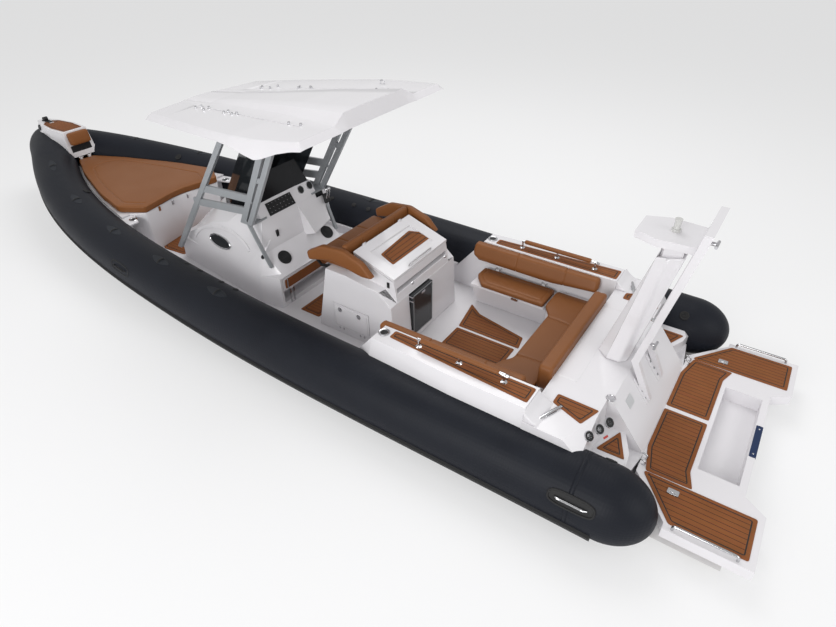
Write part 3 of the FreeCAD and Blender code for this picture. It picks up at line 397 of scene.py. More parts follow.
def faced(corners, low, high, edge, radius, step, crown=0.0, fall=60.0, grooves=(), cut=(4.0, 2.0),
          place=None, under=0.0, dent=0.0):
    """A closed pad. Rings round a quarter circle of the edge's size carry the outline up from the low
    face to the high one, drawn in by the dent half-way. The top is triangles over the outline with its
    height the crown times one less e to the minus distance over fall, less a V of the cut's half-width
    and depth along each groove. The lower face is the same with its own crown. Returns the shape
    and the plan place of each face's middle."""
    place = place or (lambda u, v, w: np.stack([u, v, w], axis=-1))
    line = soft_line(corners, radius, step)
    if np.sum(line[:, 0] * np.roll(line[:, 1], -1) - np.roll(line[:, 0], -1) * line[:, 1]) < 0:
        line = line[::-1]
    jitter, keep_off = 0.1, 0.45
    turn = np.linspace(0, math.pi / 2, 5)
    inset = edge * (1 - np.sin(turn))
    up = edge * (1 - np.cos(turn))
    tall = high - low
    middle = [(dent, low + tall * 0.5)] if tall > 2.5 * edge else []
    rings = ([(i, low + u) for i, u in zip(inset, up)] + middle
             + [(i, high - u) for i, u in zip(inset[::-1], up[::-1])])
    hoops = [np.c_[offset_line(line, i), np.full(len(line), w)] for i, w in rings]
    wall = np.concatenate(hoops)
    n = len(line)
    shapes = [(place(*wall.T), [grid_faces(len(rings), n, closed=True)])]
    spots = [wall[:n * (len(rings) - 1), :2]]
    rim = offset_line(line, edge)
    strips = []
    for groove, closed in grooves:
        strips += [(offset_line(groove, o, closed), closed) for o in (-cut[0], 0.0, cut[0])]
    for top, swell, base, lines in ((True, crown, high, strips), (False, under, low, [])):
        fixed = [rim] + [s for s, _ in lines]
        lattice = np.stack(np.meshgrid(*(np.arange(rim[:, k].min(), rim[:, k].max(), step)
                                         for k in (0, 1))), axis=-1).reshape(-1, 2)
        lattice += (np.random.default_rng(4).random(lattice.shape) - 0.5) * step * jitter
        lattice = lattice[inside(lattice, rim)]
        if not top and under == 0.0:
            lattice = lattice[:0]
        for s in fixed:
            if len(lattice):
                lattice = lattice[gap_to(lattice, s) > step * keep_off]
        points = np.concatenate(fixed + [lattice])
        edges, count = [], n
        for s, closed in lines:
            k = np.arange(len(s)) + count
            edges += np.stack([k, np.roll(k, -1)], axis=1)[:len(s) - (not closed)].tolist()
            count += len(s)
        got, _, tris, *_ = delaunay_2d_cdt(points.tolist(), edges, [list(range(n))], 1, 1e-4)
        flat = np.array([tuple(p) for p in got])
        tris = np.array([t for t in tris if len(t) == 3])
        rise = swell * (1 - np.exp(-gap_to(flat, rim) / fall)) if swell else np.zeros(len(flat))
        if top:
            for groove, closed in grooves:
                rise = rise - cut[1] * np.clip(1 - gap_to(flat, groove, closed) / cut[0], 0, 1)
        shapes.append((place(flat[:, 0], flat[:, 1], base + (rise if top else -rise)), [tris]))
        spots.append(flat[tris].mean(axis=1))
    return shapes, np.concatenate(spots)


def teak_foam(name, lined, way="Y"):
    """Brown foam with long pale and dark figure, and with black lines across the way where it is
    lined."""
    pitch, line = 0.05, 0.0045
    coat = finish(name, (0.30, 0.107, 0.034), (0.215, 0.072, 0.023), 0.7, patch=3.0, grain=380.0,
                  depth=0.0005, spread=0.07, Specular_IOR_Level=0.2)
    tree = coat.node_tree
    colour = tree.nodes["Principled BSDF"].inputs["Base Color"]
    plain = colour.links[0].from_socket
    place = new_node(tree, "TexCoord").outputs["Object"]
    along = new_node(tree, "Mapping", {"Scale": (2.0, 60.0, 2.0) if way == "Y" else (60.0, 2.0, 2.0)})
    figure = new_node(tree, "TexNoise", {"Scale": 2.0, "Detail": 4.0})
    tint = new_node(tree, "Mix", {0: 0.35}, data_type="RGBA", blend_type="MULTIPLY")
    wire(tree, (place, along.inputs["Vector"]), (along.outputs[0], figure.inputs["Vector"]),
         (plain, tint.inputs[mix_from]), (figure.outputs["Color"], tint.inputs[mix_to]),
         (tint.outputs[mixed_out], colour))
    if not lined:
        return coat
    axes = new_node(tree, "SeparateXYZ")
    tree.links.new(place, axes.inputs[0])
    value = axes.outputs[way]
    for act, number in (("DIVIDE", pitch), ("FRACT", 0.0), ("SUBTRACT", 0.5), ("ABSOLUTE", 0.0),
                        ("GREATER_THAN", 0.5 - line / pitch / 2)):
        step = new_node(tree, "Math", {1: number}, operation=act)
        tree.links.new(value, step.inputs[0])
        value = step.outputs[0]
    groove = new_node(tree, "Mix", {mix_to: (0.012, 0.011, 0.010, 1.0)}, data_type="RGBA")
    bump = next(n for n in tree.nodes if n.type == "BUMP")
    sunk = new_node(tree, "Math", operation="SUBTRACT")
    wire(tree, (value, groove.inputs[0]), (tint.outputs[mixed_out], groove.inputs[mix_from]),
         (groove.outputs[mixed_out], colour), (bump.inputs["Height"].links[0].from_socket, sunk.inputs[0]),
         (value, sunk.inputs[1]), (sunk.outputs[0], bump.inputs["Height"]))
    return coat


foam_border = teak_foam("foam_border", False)
foam_fore_aft = teak_foam("foam_lines_fore_aft", True)
foam_across = teak_foam("foam_lines_across", True, way="X")
foam_black = finish("foam_black", (0.013, 0.012, 0.011), (0.022, 0.02, 0.018), 0.75, grain=300.0,
                    depth=0.0004)


def teak_pad(corners, low, radius=26.0, border=42.0, place=None, thick=6.0):
    """A sheet with a V groove the border's width inside its outline. Faces outside the groove are
    plain, those in it black and those inside lined. Returns the shape and each face's finish."""
    ring = soft_line(shrunk(corners, border), radius * 0.6, 16.0)
    shape, spots = faced(corners, low, low + thick, 1.6, radius, 16.0, grooves=[(ring, True)],
                         cut=(5.0, 3.4), place=place)
    away = gap_to(spots, ring)
    return shape, np.where(away < 3.6, 1, np.where(inside(spots, ring), 2, 0))


def teak_sheets(name, outlines, nodes, body="boat", lined=None, **how):
    """One piece of several sheets, each an outline and the height that it lies at."""
    shapes, marks = [], []
    for corners, low in outlines:
        shape, mark = teak_pad(corners, low, **how)
        shapes += shape
        marks.append(mark)
    made = piece(name, shapes, body, "deck_foam", [foam_border, foam_black, lined or foam_fore_aft],
                 np.concatenate(marks), crease=50.0)
    if nodes:
        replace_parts(made, *nodes)
    return made


def mirrored(outlines):
    """The outlines and their twins across the middle line."""
    return list(outlines) + [([(x, -y) for x, y in reversed(corners)], low) for corners, low in outlines]


def both_sides(half):
    """A half outline, listed along port, closed by its mirror image."""
    return [tuple(p) for p in half] + [(x, -y) for x, y in reversed(half) if y > 0]


teak_sheets("deck_foam_sheets", mirrored([
    ([(923, 1032), (923, 1225), (2390, 1139), (2390, 1032)], 555),
    ([(779, 872), (410, 879), (489, 1103), (780, 992)], 450),
    ([(343, 1000), (228, 706), (103, 993)], 150)]), ["deck_teak"], border=32.0)
teak_sheets("sole_foam_sheets", mirrored([([(1622, 217), (2398, 217), (2484, 690), (2300, 558), (1662, 418)],
                                           -175)])
            + [([(1653, 181), (2398, 181), (2398, -181), (1653, -181)], -175),
               ([(3902, -558), (3902, 558), (4198, 558), (4198, -558)], -175),
               ([(6522, 478), (6900, 517), (7087, 418), (7278, 250), (7336, 0), (7278, -250), (7087, -418),
                 (6900, -517), (6522, -478)], -175)], ["floor_teak"])
teak_sheets("platform_foam", mirrored([
    ([(-938, 867), (-938, 1285), (-362, 1285), (-64, 893), (-64, 867)], 0),
    ([(-4, 27), (-4, 578), (-68, 860), (-443, 853), (-388, 680), (-388, 27)], 0)]), ["platform_teak"],
    border=36.0)
teak_sheets("bow_step_foam", [(both_sides([(9442, 0), (9442, 149), (9758, 171), (10059, 129), (10146, 60),
                                           (10146, 39), (10022, 39), (10022, 0)]), 960)],
            ["bow_step_teak"], border=22.0, radius=14.0, lined=foam_across)

# Cockpit cushions. Brown vinyl with a leather grain, stitched over firm foam and crowned. They rest on
# the sofa's base and lean on the deck and the coamings, and each seam pulls the cover down.


def leather(name, colour, shade):
    """Vinyl with a pebbled grain: small rounded cells on the relief over a soft sheen."""
    coat = finish(name, colour, shade, 0.43, patch=2.0, grain=240.0, spread=0.07,
                  Specular_IOR_Level=0.22)
    tree = coat.node_tree
    bump = next(n for n in tree.nodes if n.type == "BUMP")
    cells = new_node(tree, "TexVoronoi", {"Scale": 260.0})
    wire(tree, (new_node(tree, "TexCoord").outputs["Object"], cells.inputs["Vector"]),
         (cells.outputs["Distance"], bump.inputs["Height"]))
    bump.inputs["Distance"].default_value = 0.0006
    bump.inputs["Strength"].default_value = 0.6
    return coat


vinyl = leather("vinyl_brown", (0.222, 0.084, 0.026), (0.186, 0.068, 0.021))


def cushion(name, shapes, body, *nodes, fill=0.8):
    """A padded piece in vinyl that stands for its solids."""
    made = piece(name, shapes, body, "upholstery", [vinyl], crease=60.0)
    if nodes:
        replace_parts(made, *nodes)
    return made


def seam(corners, radius=20, step=18):
    """An open groove through the corners, as faced takes them."""
    return soft_line(corners, radius, step, False), False


sofa_outline = both_sides([(1408, 0), (1408, 430), (1508, 569), (1508, 903), (1062, 903), (1062, 0)])
sofa_seams = [seam([(1420, side * 380), (1062, side * 352)]) for side in (1, -1)]
cushion("sofa_seat_cushion", faced(sofa_outline, 215.3, 266, 18, 60, 20, crown=9, fall=45,
                                   grooves=sofa_seams, cut=(14, 9))[0], "boat", "sofa_seat")


def upright(origin, u, v, w):
    """A place function: the origin plus each plan value along its own direction."""
    axes = np.array([u, v, w], float)
    axes /= np.linalg.norm(axes, axis=1)[:, None]
    return lambda a, b, c: np.asarray(origin, float) + np.stack([a, b, c], axis=-1) @ axes


facing_up = (1, 0, 0), (0, 1, 0), (0, 0, 1)
facing_aft = (0, -1, 0), (0, 0, 1), (-1, 0, 0)


def facing_out(side):
    """The plan's directions on an upright face that looks to port, or to starboard at -1."""
    return (-1, 0, 0), (0, 0, 1), (0, side, 0)


def rectangle(u0, v0, u1, v1):
    """The four corners of a plan from one to the opposite one."""
    return [(u0, v0), (u1, v0), (u1, v1), (u0, v1)]


cushion("sofa_back_cushion",
        faced(rectangle(-738, 277, 738, 556), 0.5, 136, 30, 90, 20, crown=8, fall=40,
              grooves=[seam([(y, 290), (y, 550)]) for y in (-340, 340)],
              cut=(13, 8), place=upright((904.4, 0, 0), (0, 1, 0), (0, 0, 1), (1, 0, 0)), dent=4)[0],
        "boat", "sofa_backrest")


def long_pad(name, sections, rings, round_off, seams, body, *nodes):
    """A pad whose rounded section changes along x, between given rings. Towards each end it shrinks
    about its middle as the root of one less 0.93 of the square of the way into the round-off, and at
    each seam by a narrow bell of 7%."""
    x = np.unique(np.concatenate([np.linspace(sections[0], sections[-1], 90),
                                  sections[0] + round_off * (1 - np.cos(np.linspace(0, 1.4, 9))),
                                  sections[-1] - round_off * (1 - np.cos(np.linspace(0, 1.4, 9)))]
                                 + [s + np.linspace(-22, 22, 9) for s in seams]))
    lines = [soft_line(r, 46, 6) for r in rings]
    loops = np.stack([np.stack([np.interp(np.linspace(0, len(q), 64, endpoint=False), np.arange(len(q) + 1),
                                          np.r_[q[:, c], q[:1, c]]) for c in (0, 1)], axis=1)
                      for q in lines])
    ring = np.stack([[np.interp(x, sections, loops[:, k, c]) for k in range(loops.shape[1])]
                     for c in (0, 1)], axis=-1).transpose(1, 0, 2)
    middle = ring.mean(axis=1, keepdims=True)
    into = np.clip(1 - np.minimum(x - sections[0], sections[-1] - x) / round_off, 0, 1)
    size = np.sqrt(1 - into ** 2 * 0.93)
    for s in seams:
        size = size * (1 - 0.07 * np.exp(-((x - s) / 7.0) ** 2))
    ring = middle + (ring - middle) * size[:, None, None]
    count = ring.shape[1]
    points = np.concatenate([np.broadcast_to(x[:, None, None], (len(x), count, 1)), ring], axis=2)
    ends = [np.arange(count)[None, ::-1], (np.arange(count) + (len(x) - 1) * count)[None]]
    return cushion(name, [(points, [grid_faces(len(x), count, closed=True)] + ends)], body, *nodes)


def coaming_ring(x, low, side):
    """The bolster's section at a station: its back on the coaming's face, its front drawn in at the
    foot."""
    back = np.interp(x, [905, 1600, 2530, 2930], [1000, 1005, 1010, 1040]) - 1.0
    return [(side * y, z) for y, z in ((back, 332 + low), (back - 122, 347 + low),
                                       (back - 145, 402 + low / 2), (back - 92, 548), (back, 550))]


for side, name in sides:
    long_pad(f"side_cushion_{name}", [1062, 1600, 2530, 2618],
             [coaming_ring(x, low, side) for x, low in ((1062, 58), (1600, 0), (2530, 0), (2618, 58))],
             34, (1450, 2040), "boat", f"side_bolster_{name}")

# Folding seat. A moulded flap hinged along its outboard edge over the side locker, with a cushion fixed
# on it and a flush steel latch at its inner edge.
cushion("fold_seat_cushion",
        faced([(1545, -948), (2466, -948), (2466, -760), (2330, -594), (1545, -594)], 190.3, 243, 16, 55, 20,
              crown=7, fall=40, grooves=[(soft_line([(1600, -900), (2405, -900), (2405, -765), (2302, -650),
                                                     (1600, -650)], 40, 18), True)], cut=(9, 5))[0],
        "folding_seat", "fold_cushion")
dress(gelcoat, "fold_seat")
steel = finish("polished_steel", (0.63, 0.63, 0.64), (0.52, 0.52, 0.54), 0.13, patch=7.0, grain=60.0,
               depth=0.00005, spread=0.05, Metallic=1.0)
steel_on_boat = "boat", "polished", [steel]
dress(steel, "hinges", "lid_handle", "tow_bollards", "platform_rails", "hand_rails")


def turned(profile, at, axis, count=28):
    """A shape turned about an axis: radius and height pairs carried round a full circle, closed by a
    disc where the radius isn't nought."""
    profile = np.asarray(profile, float)
    axis = np.asarray(axis, float) / np.linalg.norm(axis)
    u = np.cross(axis, (0, 0, 1) if abs(axis[2]) < 0.9 else (1, 0, 0))
    u /= np.linalg.norm(u)
    v = np.cross(axis, u)
    a = np.linspace(0, 2 * math.pi, count, endpoint=False)
    ring = np.cos(a)[:, None] * u + np.sin(a)[:, None] * v
    points = (np.asarray(at, float) + profile[:, None, 1:] * axis
              + np.maximum(profile[:, None, :1], 0.001) * ring)
    faces = [grid_faces(len(profile), count, closed=True), np.arange(count)[None, ::-1],
             (np.arange(count) + (len(profile) - 1) * count)[None]]
    return points, faces


def rod(path, radius, bend=0.0, count=12, flat=1.0, up=(0, 0, 1)):
    """A bar along a path whose corners are rounded over the bend. Its section is an ellipse, narrower
    by flat along the up direction, and each end is half a ball of four rings."""
    path = np.asarray(path, float)
    line = soft_line(path, bend, max(radius * 0.8, 5.0), False) if bend else path
    run = np.gradient(line, axis=0)
    run /= np.linalg.norm(run, axis=1)[:, None]
    cap = np.linspace(0, 1, 5)[:-1]
    dome = np.sqrt(1 - (1 - cap) ** 2)
    sizes = np.concatenate([dome, np.ones(len(line)), dome[::-1]])
    line = np.concatenate([line[0] - run[0] * radius * (1 - cap)[:, None], line,
                           line[-1] + run[-1] * radius * (1 - cap[::-1])[:, None]])
    run = np.concatenate([np.repeat(run[:1], 4, axis=0), run, np.repeat(run[-1:], 4, axis=0)])
    side = np.cross(run, np.asarray(up, float))
    side /= np.maximum(np.linalg.norm(side, axis=1), 1e-6)[:, None]
    top = np.cross(side, run)
    a = np.linspace(0, 2 * math.pi, count, endpoint=False)
    points = (line[:, None] + (np.maximum(sizes, 0.02) * radius)[:, None, None]
              * (np.cos(a)[None, :, None] * side[:, None] + flat * np.sin(a)[None, :, None] * top[:, None]))
    ends = [np.arange(count)[None, ::-1], (np.arange(count) + (len(line) - 1) * count)[None]]
    return points, [grid_faces(len(line), count, closed=True)] + ends


def oblong(length, width):
    """A plan of two half circles joined by straight sides, its length along the first axis."""
    a = np.linspace(-math.pi / 2, math.pi / 2, 9)
    end = np.stack([np.cos(a) * width / 2 + (length - width) / 2, np.sin(a) * width / 2], axis=1)
    return np.concatenate([end, -end])


def plate(corners, thick, place, edge=1.5, radius=6.0, step=8.0):
    """A thin flat plate with a rounded rim, set out on a place function."""
    return faced(corners, 0.0, thick, edge, radius, step, place=place)[0]


piece("fold_seat_latch", plate(oblong(90, 34), 5, upright((1890, -590.0, 178), (1, 0, 0), (0, 0, 1),
                                                          (0, 1, 0))), "folding_seat", "polished", [steel])

# Leaning post. A white moulding across the deck that carries the helm seat, with a lifting worktop over
# its aft side, a fridge in its aft face and a side hatch to port.
moulded("post_body", 0.014)
moulded("post_lid", 0.010, body="lid")
lid_place = upright((2868, 0, 744.5), (320, 0, 103), (0, 1, 0), (-103, 0, 320))
teak_sheets("worktop_foam", [([(58, -500), (62, 322), (250, 300), (292, -290)], 1.0)], (), body="lid",
            place=lid_place, border=30.0, thick=5.0, lined=foam_across)
black_plastic = finish("black_plastic", (0.010, 0.010, 0.011), (0.017, 0.017, 0.018), 0.45, patch=8.0,
                       grain=500.0, depth=0.0002, Specular_IOR_Level=0.25)
black_on_boat = "boat", "black_trim", [black_plastic]
smoked_glass = finish("smoked_glass", (0.020, 0.022, 0.024), (0.034, 0.036, 0.039), 0.14, patch=3.0,
                      grain=20.0, depth=0.00004, spread=0.03, Specular_IOR_Level=0.35)
dress(black_plastic, "fridge_body")
dress(smoked_glass, "fridge_door")
dress(black_plastic, "bow_fittings", "seat_brackets")
moulded("post_hatch", 0.006, body="side_hatch")
moulded("footrest", 0.004, body="footrest")
grey_trim = finish("grey_trim", (0.20, 0.205, 0.21), (0.16, 0.165, 0.17), 0.38, patch=6.0, grain=200.0,
                   depth=0.0001)
rim = offset_line(soft_line(rectangle(-298, -103, 88, 433), 26, 20), 8)
rim = np.vstack([rim, rim[:2]])
piece("fridge_rim", [rod(np.c_[np.full(len(rim), 2689.0), -rim[:, 0], rim[:, 1]], 6, count=8, up=(1, 0, 0))],
      "fridge_door", "fridge_front", [grey_trim])
piece("fridge_latch", plate(rectangle(-140, 372, -70, 408), 9, upright((2690, 0, 0), *facing_aft), edge=3),
      "fridge_door", "polished", [steel])

# Helm seat and backrest. A bench on the post, of foam in stitched brown vinyl, with a padded cheek at
# each end and a low back whose both sides show.
helm_seams = [seam([(3345, y), (3838, y)]) for y in (-180, 180)]
cushion("helm_seat_cushion", faced(rectangle(3333, -537, 3847, 537), 651, 752, 26, 70, 20, crown=9,
                                   fall=45, grooves=helm_seams, cut=(13, 8), dent=3)[0],
        "boat", "helm_seat")
back_seams = [seam([(-y, 775), (-y, 965)]) for y in (-290, 0, 290)]
cushion("helm_back_cushion", faced(rectangle(-577, 764, 577, 973), 6, 72, 24, 60, 18,
                                   crown=7, fall=35, grooves=back_seams, cut=(12, 7), under=6,
                                   place=upright((3424, 0, 0), *facing_aft))[0],
        "boat", "helm_back")
cheek = [(2960, 735), (3100, 880), (3350, 960), (3640, 930), (3860, 800), (3840, 700), (3500, 790),
         (3100, 720)]
for side, name in sides:
    cushion(f"helm_cheek_{name}", faced([(-side * x, z) for x, z in cheek], 2, 80, 22, 44, 16, crown=3,
                                        fall=25, under=2,
                                        place=upright((0, side * 581, 0), (-side, 0, 0), (0, 0, 1),
                                                      (0, side, 0)))[0],
            "boat", f"helm_bolster_{name}")

# Console. One tall white moulding with a domed front, a dash pod for the helm and a recess for the
# feet, glued to the sole. Its two side windows are smoked glass in steel rims.
moulded("console", 0.014)
dress(smoked_glass, "portlights")
a = np.linspace(0, 2 * math.pi, 49)
rims = []
for side in (1, -1):
    out = np.array([0.08, side * 0.97, 0.21]) / np.linalg.norm([0.08, 0.97, 0.21])
    along = np.cross((0, 0, 1), out)
    along /= np.linalg.norm(along)
    rise = np.cross(out, along)
    ring = (np.array([5490, side * 557, 384]) + np.cos(a)[:, None] * 205 * along
            + np.sin(a)[:, None] * 78 * rise + 5 * out)
    rims.append(rod(ring, 12, count=10, up=out))
piece("portlight_rims", rims, *steel_on_boat)

# Dash. Black plastic panels screwed to the pod: a keypad of push switches, two dials, a socket,
# a display on top and the speakers low down. Nothing is lettered.
screen_glass = finish("screen_glass", (0.005, 0.0055, 0.007), (0.009, 0.0095, 0.011), 0.2, patch=2.0,
                      grain=30.0, depth=0.00002, spread=0.04, Specular_IOR_Level=0.2)
pale_key = finish("pale_key", (0.55, 0.56, 0.57), (0.48, 0.49, 0.50), 0.45, patch=9.0)
dress(black_plastic, "dash_panels", "speakers")
dress(screen_glass, "dash_screen")
dash_out = np.array([-0.887, 0, 0.46])
dash_face = upright(np.array([4761, 120, 920]) + 8.0 * dash_out, (0, -1, 0), (0.46, 0, 0.887), dash_out)
keys, lamps = [], []
for row in range(3):
    for column in range(7):
        x, y = -172 + column * 57.5, -50 + row * 50
        keys += plate(rectangle(x - 21, y - 16, x + 21, y + 16), 5, dash_face, edge=2, radius=5)
        lamps += plate(rectangle(x - 5, y + 4, x + 5, y + 9), 6.5, dash_face, edge=0.6, radius=2, step=4)
piece("dash_keys", keys, *black_on_boat)
piece("dash_key_lamps", lamps, "boat", "black_trim", [pale_key])
dial_places = [(4781, y, 955) for y in (-265, -425)]
dials = [turned([(0, 5), (44, 5), (46, 9), (52, 9), (54, 5), (54, -6)], at, dash_out) for at in dial_places]
piece("dash_dial_rims", dials, *steel_on_boat)
piece("dash_dial_faces", [turned([(0, 7), (43, 7), (44, 4)], at, dash_out) for at in dial_places], "boat",
      "screen", [screen_glass])
grille = [(0, 14), (10, 14), (14, 10), (18, 13), (26, 12), (30, 9), (34, 12), (42, 11), (46, 8), (50, 11),
          (58, 10), (62, 7), (66, 10), (72, 9), (76, 14), (86, 12), (89, 4), (89, -4)]
piece("speaker_grilles", [turned(grille, (4547, y, 362), (-0.678, 0, 0.735), 40) for y in (372, -408)],
      *black_on_boat)

# Windscreen. Bent acrylic sheet, tinted nearly black, whose foot is let into the console's roof and
# bonded there.
acrylic = finish("tinted_acrylic", (0.028, 0.032, 0.036), (0.02, 0.023, 0.026), 0.08, patch=1.0, grain=8.0,
                 depth=0.00002, spread=0.02, Transmission_Weight=0.5, IOR=1.2)
dress(acrylic, "windscreen")

# Top frame and hardtop. Two frames of welded alloy tube, painted grey, carry a white moulded roof that
# is bolted down on them. The roof falls forwards and has a raised middle.
painted_alloy = finish("painted_alloy", (0.33, 0.345, 0.36), (0.28, 0.295, 0.31), 0.36, patch=3.0,
                       grain=300.0, depth=0.00012, Metallic=0.2)
roof_fall = 0.0938
for side, name in sides:
    frame_shell = moulded(f"top_frame_{name}", 0.005, coat=painted_alloy, segments=2)
    sliced(frame_shell, (3900, 0, 2168), (roof_fall, 0, 1))


def roof_plane(x):
    """The roof's height at a station: it falls forward by about one in ten."""
    return np.interp(x, [3240, 3300, 3500, 3800, 4100, 4400, 4700, 5000, 5300, 5600, 5750, 6010],
                     [2263, 2258, 2238, 2210, 2187, 2156, 2128, 2098, 2068, 2037, 2020, 1995])


def hardtop_rails():
    """Lines along the roof from its aft face to its rounded front, half of them from the middle to the
    port edge on top and as many below. Between them lie the raised middle panel, whose height fades
    forwards as one less the way to the power 1.4, its sloped flank, the grab-rail slot and the skirt
    that droops at the aft corners. Each returns its points for ways 0 to 1."""
    way = np.linspace(0, 1, 61)
    panel_lift = 84
    ends = [(3320, 6010), (3320, 6006), (3320, 6000), (3318, 5998), (3302, 5992), (3300, 5990), (3300, 5966),
            (3300, 5965), (3300, 5963), (3300, 5962), (3300, 5874), (3299, 5860), (3298, 5852)]
    top, low = [], []
    for k, (aft, fore) in enumerate(ends):
        x = aft + way * (fore - aft)
        z = roof_plane(x)
        panel = np.interp(x, [3300, 3900, 4340, 4845, 5275, 5600, 6010], [484, 405, 338, 262, 228, 240, 200])
        foot = np.interp(x, [3293, 3778, 4246, 4638, 5026, 5503, 6010], [628, 514, 414, 353, 318, 300, 260])
        slot = np.interp(x, [3300, 3626, 3810, 4224, 4690, 5251, 5581, 6010],
                         [775, 730, 700, 656, 570, 479, 398, 330])
        half = np.interp(x, [3240, 3300, 3500, 3800, 4100, 4400, 4700, 5000, 5300, 5600, 5860],
                         [1110, 1123, 1155, 1189, 1176, 1132, 1076, 1012, 945, 876, 812])
        drop = np.interp(x, [3240, 3400, 3550, 3700, 3800, 3950, 4130, 4331, 4700, 5750],
                         [60, 64, 92, 142, 165, 132, 82, 58, 54, 50])
        flare = np.interp(x, [3240, 3500, 3800, 4200, 4600, 5860], [34, 44, 52, 50, 58, 78])
        lift = panel_lift * (1 - np.clip((x - 3320) / 2180, 0, 1) ** 1.4)
        sunk = 6 * np.clip((x - 3626) / 30, 0, 1) * np.clip((5581 - x) / 30, 0, 1)
        y, up = [(0 * x, lift + 8), (panel * 0.5, lift + 7), (panel - 9, lift + 3), (panel + 8, lift - 6),
                 (foot - 12, lift * 0.1 + 3), (foot + 10, 0), (slot - 10, 0), (slot - 7, -sunk),
                 (slot + 7, -sunk), (slot + 10, 0), (half - 26, 0), (half - 7, -3), (half, -10)][k]
        top.append(np.stack([x, y, z + up], axis=1))
        under = x - 60 * (1 - way)
        side = [(y, -57), (half + flare - 70, -57), (half + flare - 12, 2 - drop), (half + flare, -drop)]
        y, up = side[max(0, k - 9)]
        low.append(np.stack([under, y + 0 * x, z + up], axis=1))
    flip = np.array([1, -1, 1])
    ring = [rail * flip for rail in top[:0:-1]] + top + low[::-1] + [rail * flip for rail in low[1:]]
    return np.stack(ring, axis=1)


roof = hardtop_rails()
rows, count, _ = roof.shape
ends = []
for row in (0, rows - 1):
    over = np.arange(25) + row * count
    below = np.arange(49, 24, -1) + row * count
    ends.append(np.stack([over[:-1], over[1:], below[1:], below[:-1]], axis=1))
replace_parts(piece("hardtop_shell", [(roof, [grid_faces(rows, count, closed=True)] + ends)], "boat", "gelcoat",
                  [gelcoat], crease=38.0), "hardtop")

# Mast. The raked tow mast at the stern: painted legs with cross plates, a moulded fairing over their
# foot and a shelf on top that holds the white all-round light.
dress(gelcoat, "mast_frame")
moulded("mast_fairing", 0.016)
moulded("mast_shelf", 0.010)
lens_white = finish("light_lens", (0.72, 0.72, 0.70), (0.66, 0.66, 0.64), 0.18, patch=8.0, Coat_Weight=0.5,
                    Transmission_Weight=0.25)
dress(lens_white, "anchor_light")

# Bow. A moulded locker with a padded lid to lie on, and a step moulding over the stem with a small
# backrest on its aft face. Both mouldings are glued to the tubes.
moulded("bow_locker", 0.012)
moulded("bow_step", 0.012)
dress(gelcoat, "bow_lid")
x = np.linspace(7300, 9329, 9)
y, z, lead = tube_line(x)
pad_height, clear_of_tube = 400, 30
edge = y - np.sqrt(tube_radius ** 2 - (pad_height - z) ** 2) * np.hypot(1, lead) - clear_of_tube
aft_edge = [(7016, 0), (7004, 130), (6955, 370), (6908, 622)]
half = aft_edge + [(7225, 815)] + np.stack([x, edge], axis=1).tolist()
pad_seam = [(7014, -451), (7247, -552), (7974, -418), (8740, -240), (8860, 0), (8790, 200), (8340, 400),
            (7856, 556), (7262, 700), (7010, 560)]
cushion("sunpad_cushion", faced(both_sides(half), 425.5, 522, 22, 50, 26, crown=10, fall=60,
                                grooves=[seam(pad_seam, 60, 22)], cut=(11, 7), dent=3)[0],
        "bow_lid", "sunpad")
face = [(x + 12, y) for x, y in aft_edge]
well = np.linspace(math.pi / 2, 0, 7)
inner = [(7095 + 330 * math.cos(t), 505 * math.sin(t)) for t in well]
front = both_sides(face + [(7108, 775), (7108, 505)] + inner)[:-1]
piece("bow_locker_front", faced(front, -174, 424, 14, 30, 24)[0], *white_on_boat)
lean = 60 / 400
back_place = upright((9366, 0, 745), (0, -1, 0), (lean, 0, 1), (-1, 0, lean))
cushion("bow_back_cushion", faced(rectangle(-163, 2, 163, 198), 4, 84, 20, 60, 14, crown=6, fall=30,
                                  place=back_place)[0], "boat", "bow_backrest")

# Tube fittings. Black moulded rubber, glued on: a hand loop over each wear patch, inflation valves fore
# and aft, and carry handles let into oval patches on the outer side, the aft pair with steel bars.


def on_tube(x, degrees, side):
    """The place on a tube's skin at an angle, and the way out from it."""
    low, high = (tube_skin(x, math.radians(degrees), proud, side) for proud in (0.0, 10.0))
    return low, (high - low) / 10.0


def handle_line(x, degrees, long, high, proud, side, turns):
    """An oval round a place on the tube, as long and high as given, with nearly straight sides."""
    c, s = np.cos(turns), np.sin(turns)
    reach = np.sign(s) * np.abs(s) ** 0.6 * high / 2 / tube_radius
    return tube_skin(x + np.sign(c) * np.abs(c) ** 0.6 * long / 2, math.radians(degrees) + reach, proud, side)


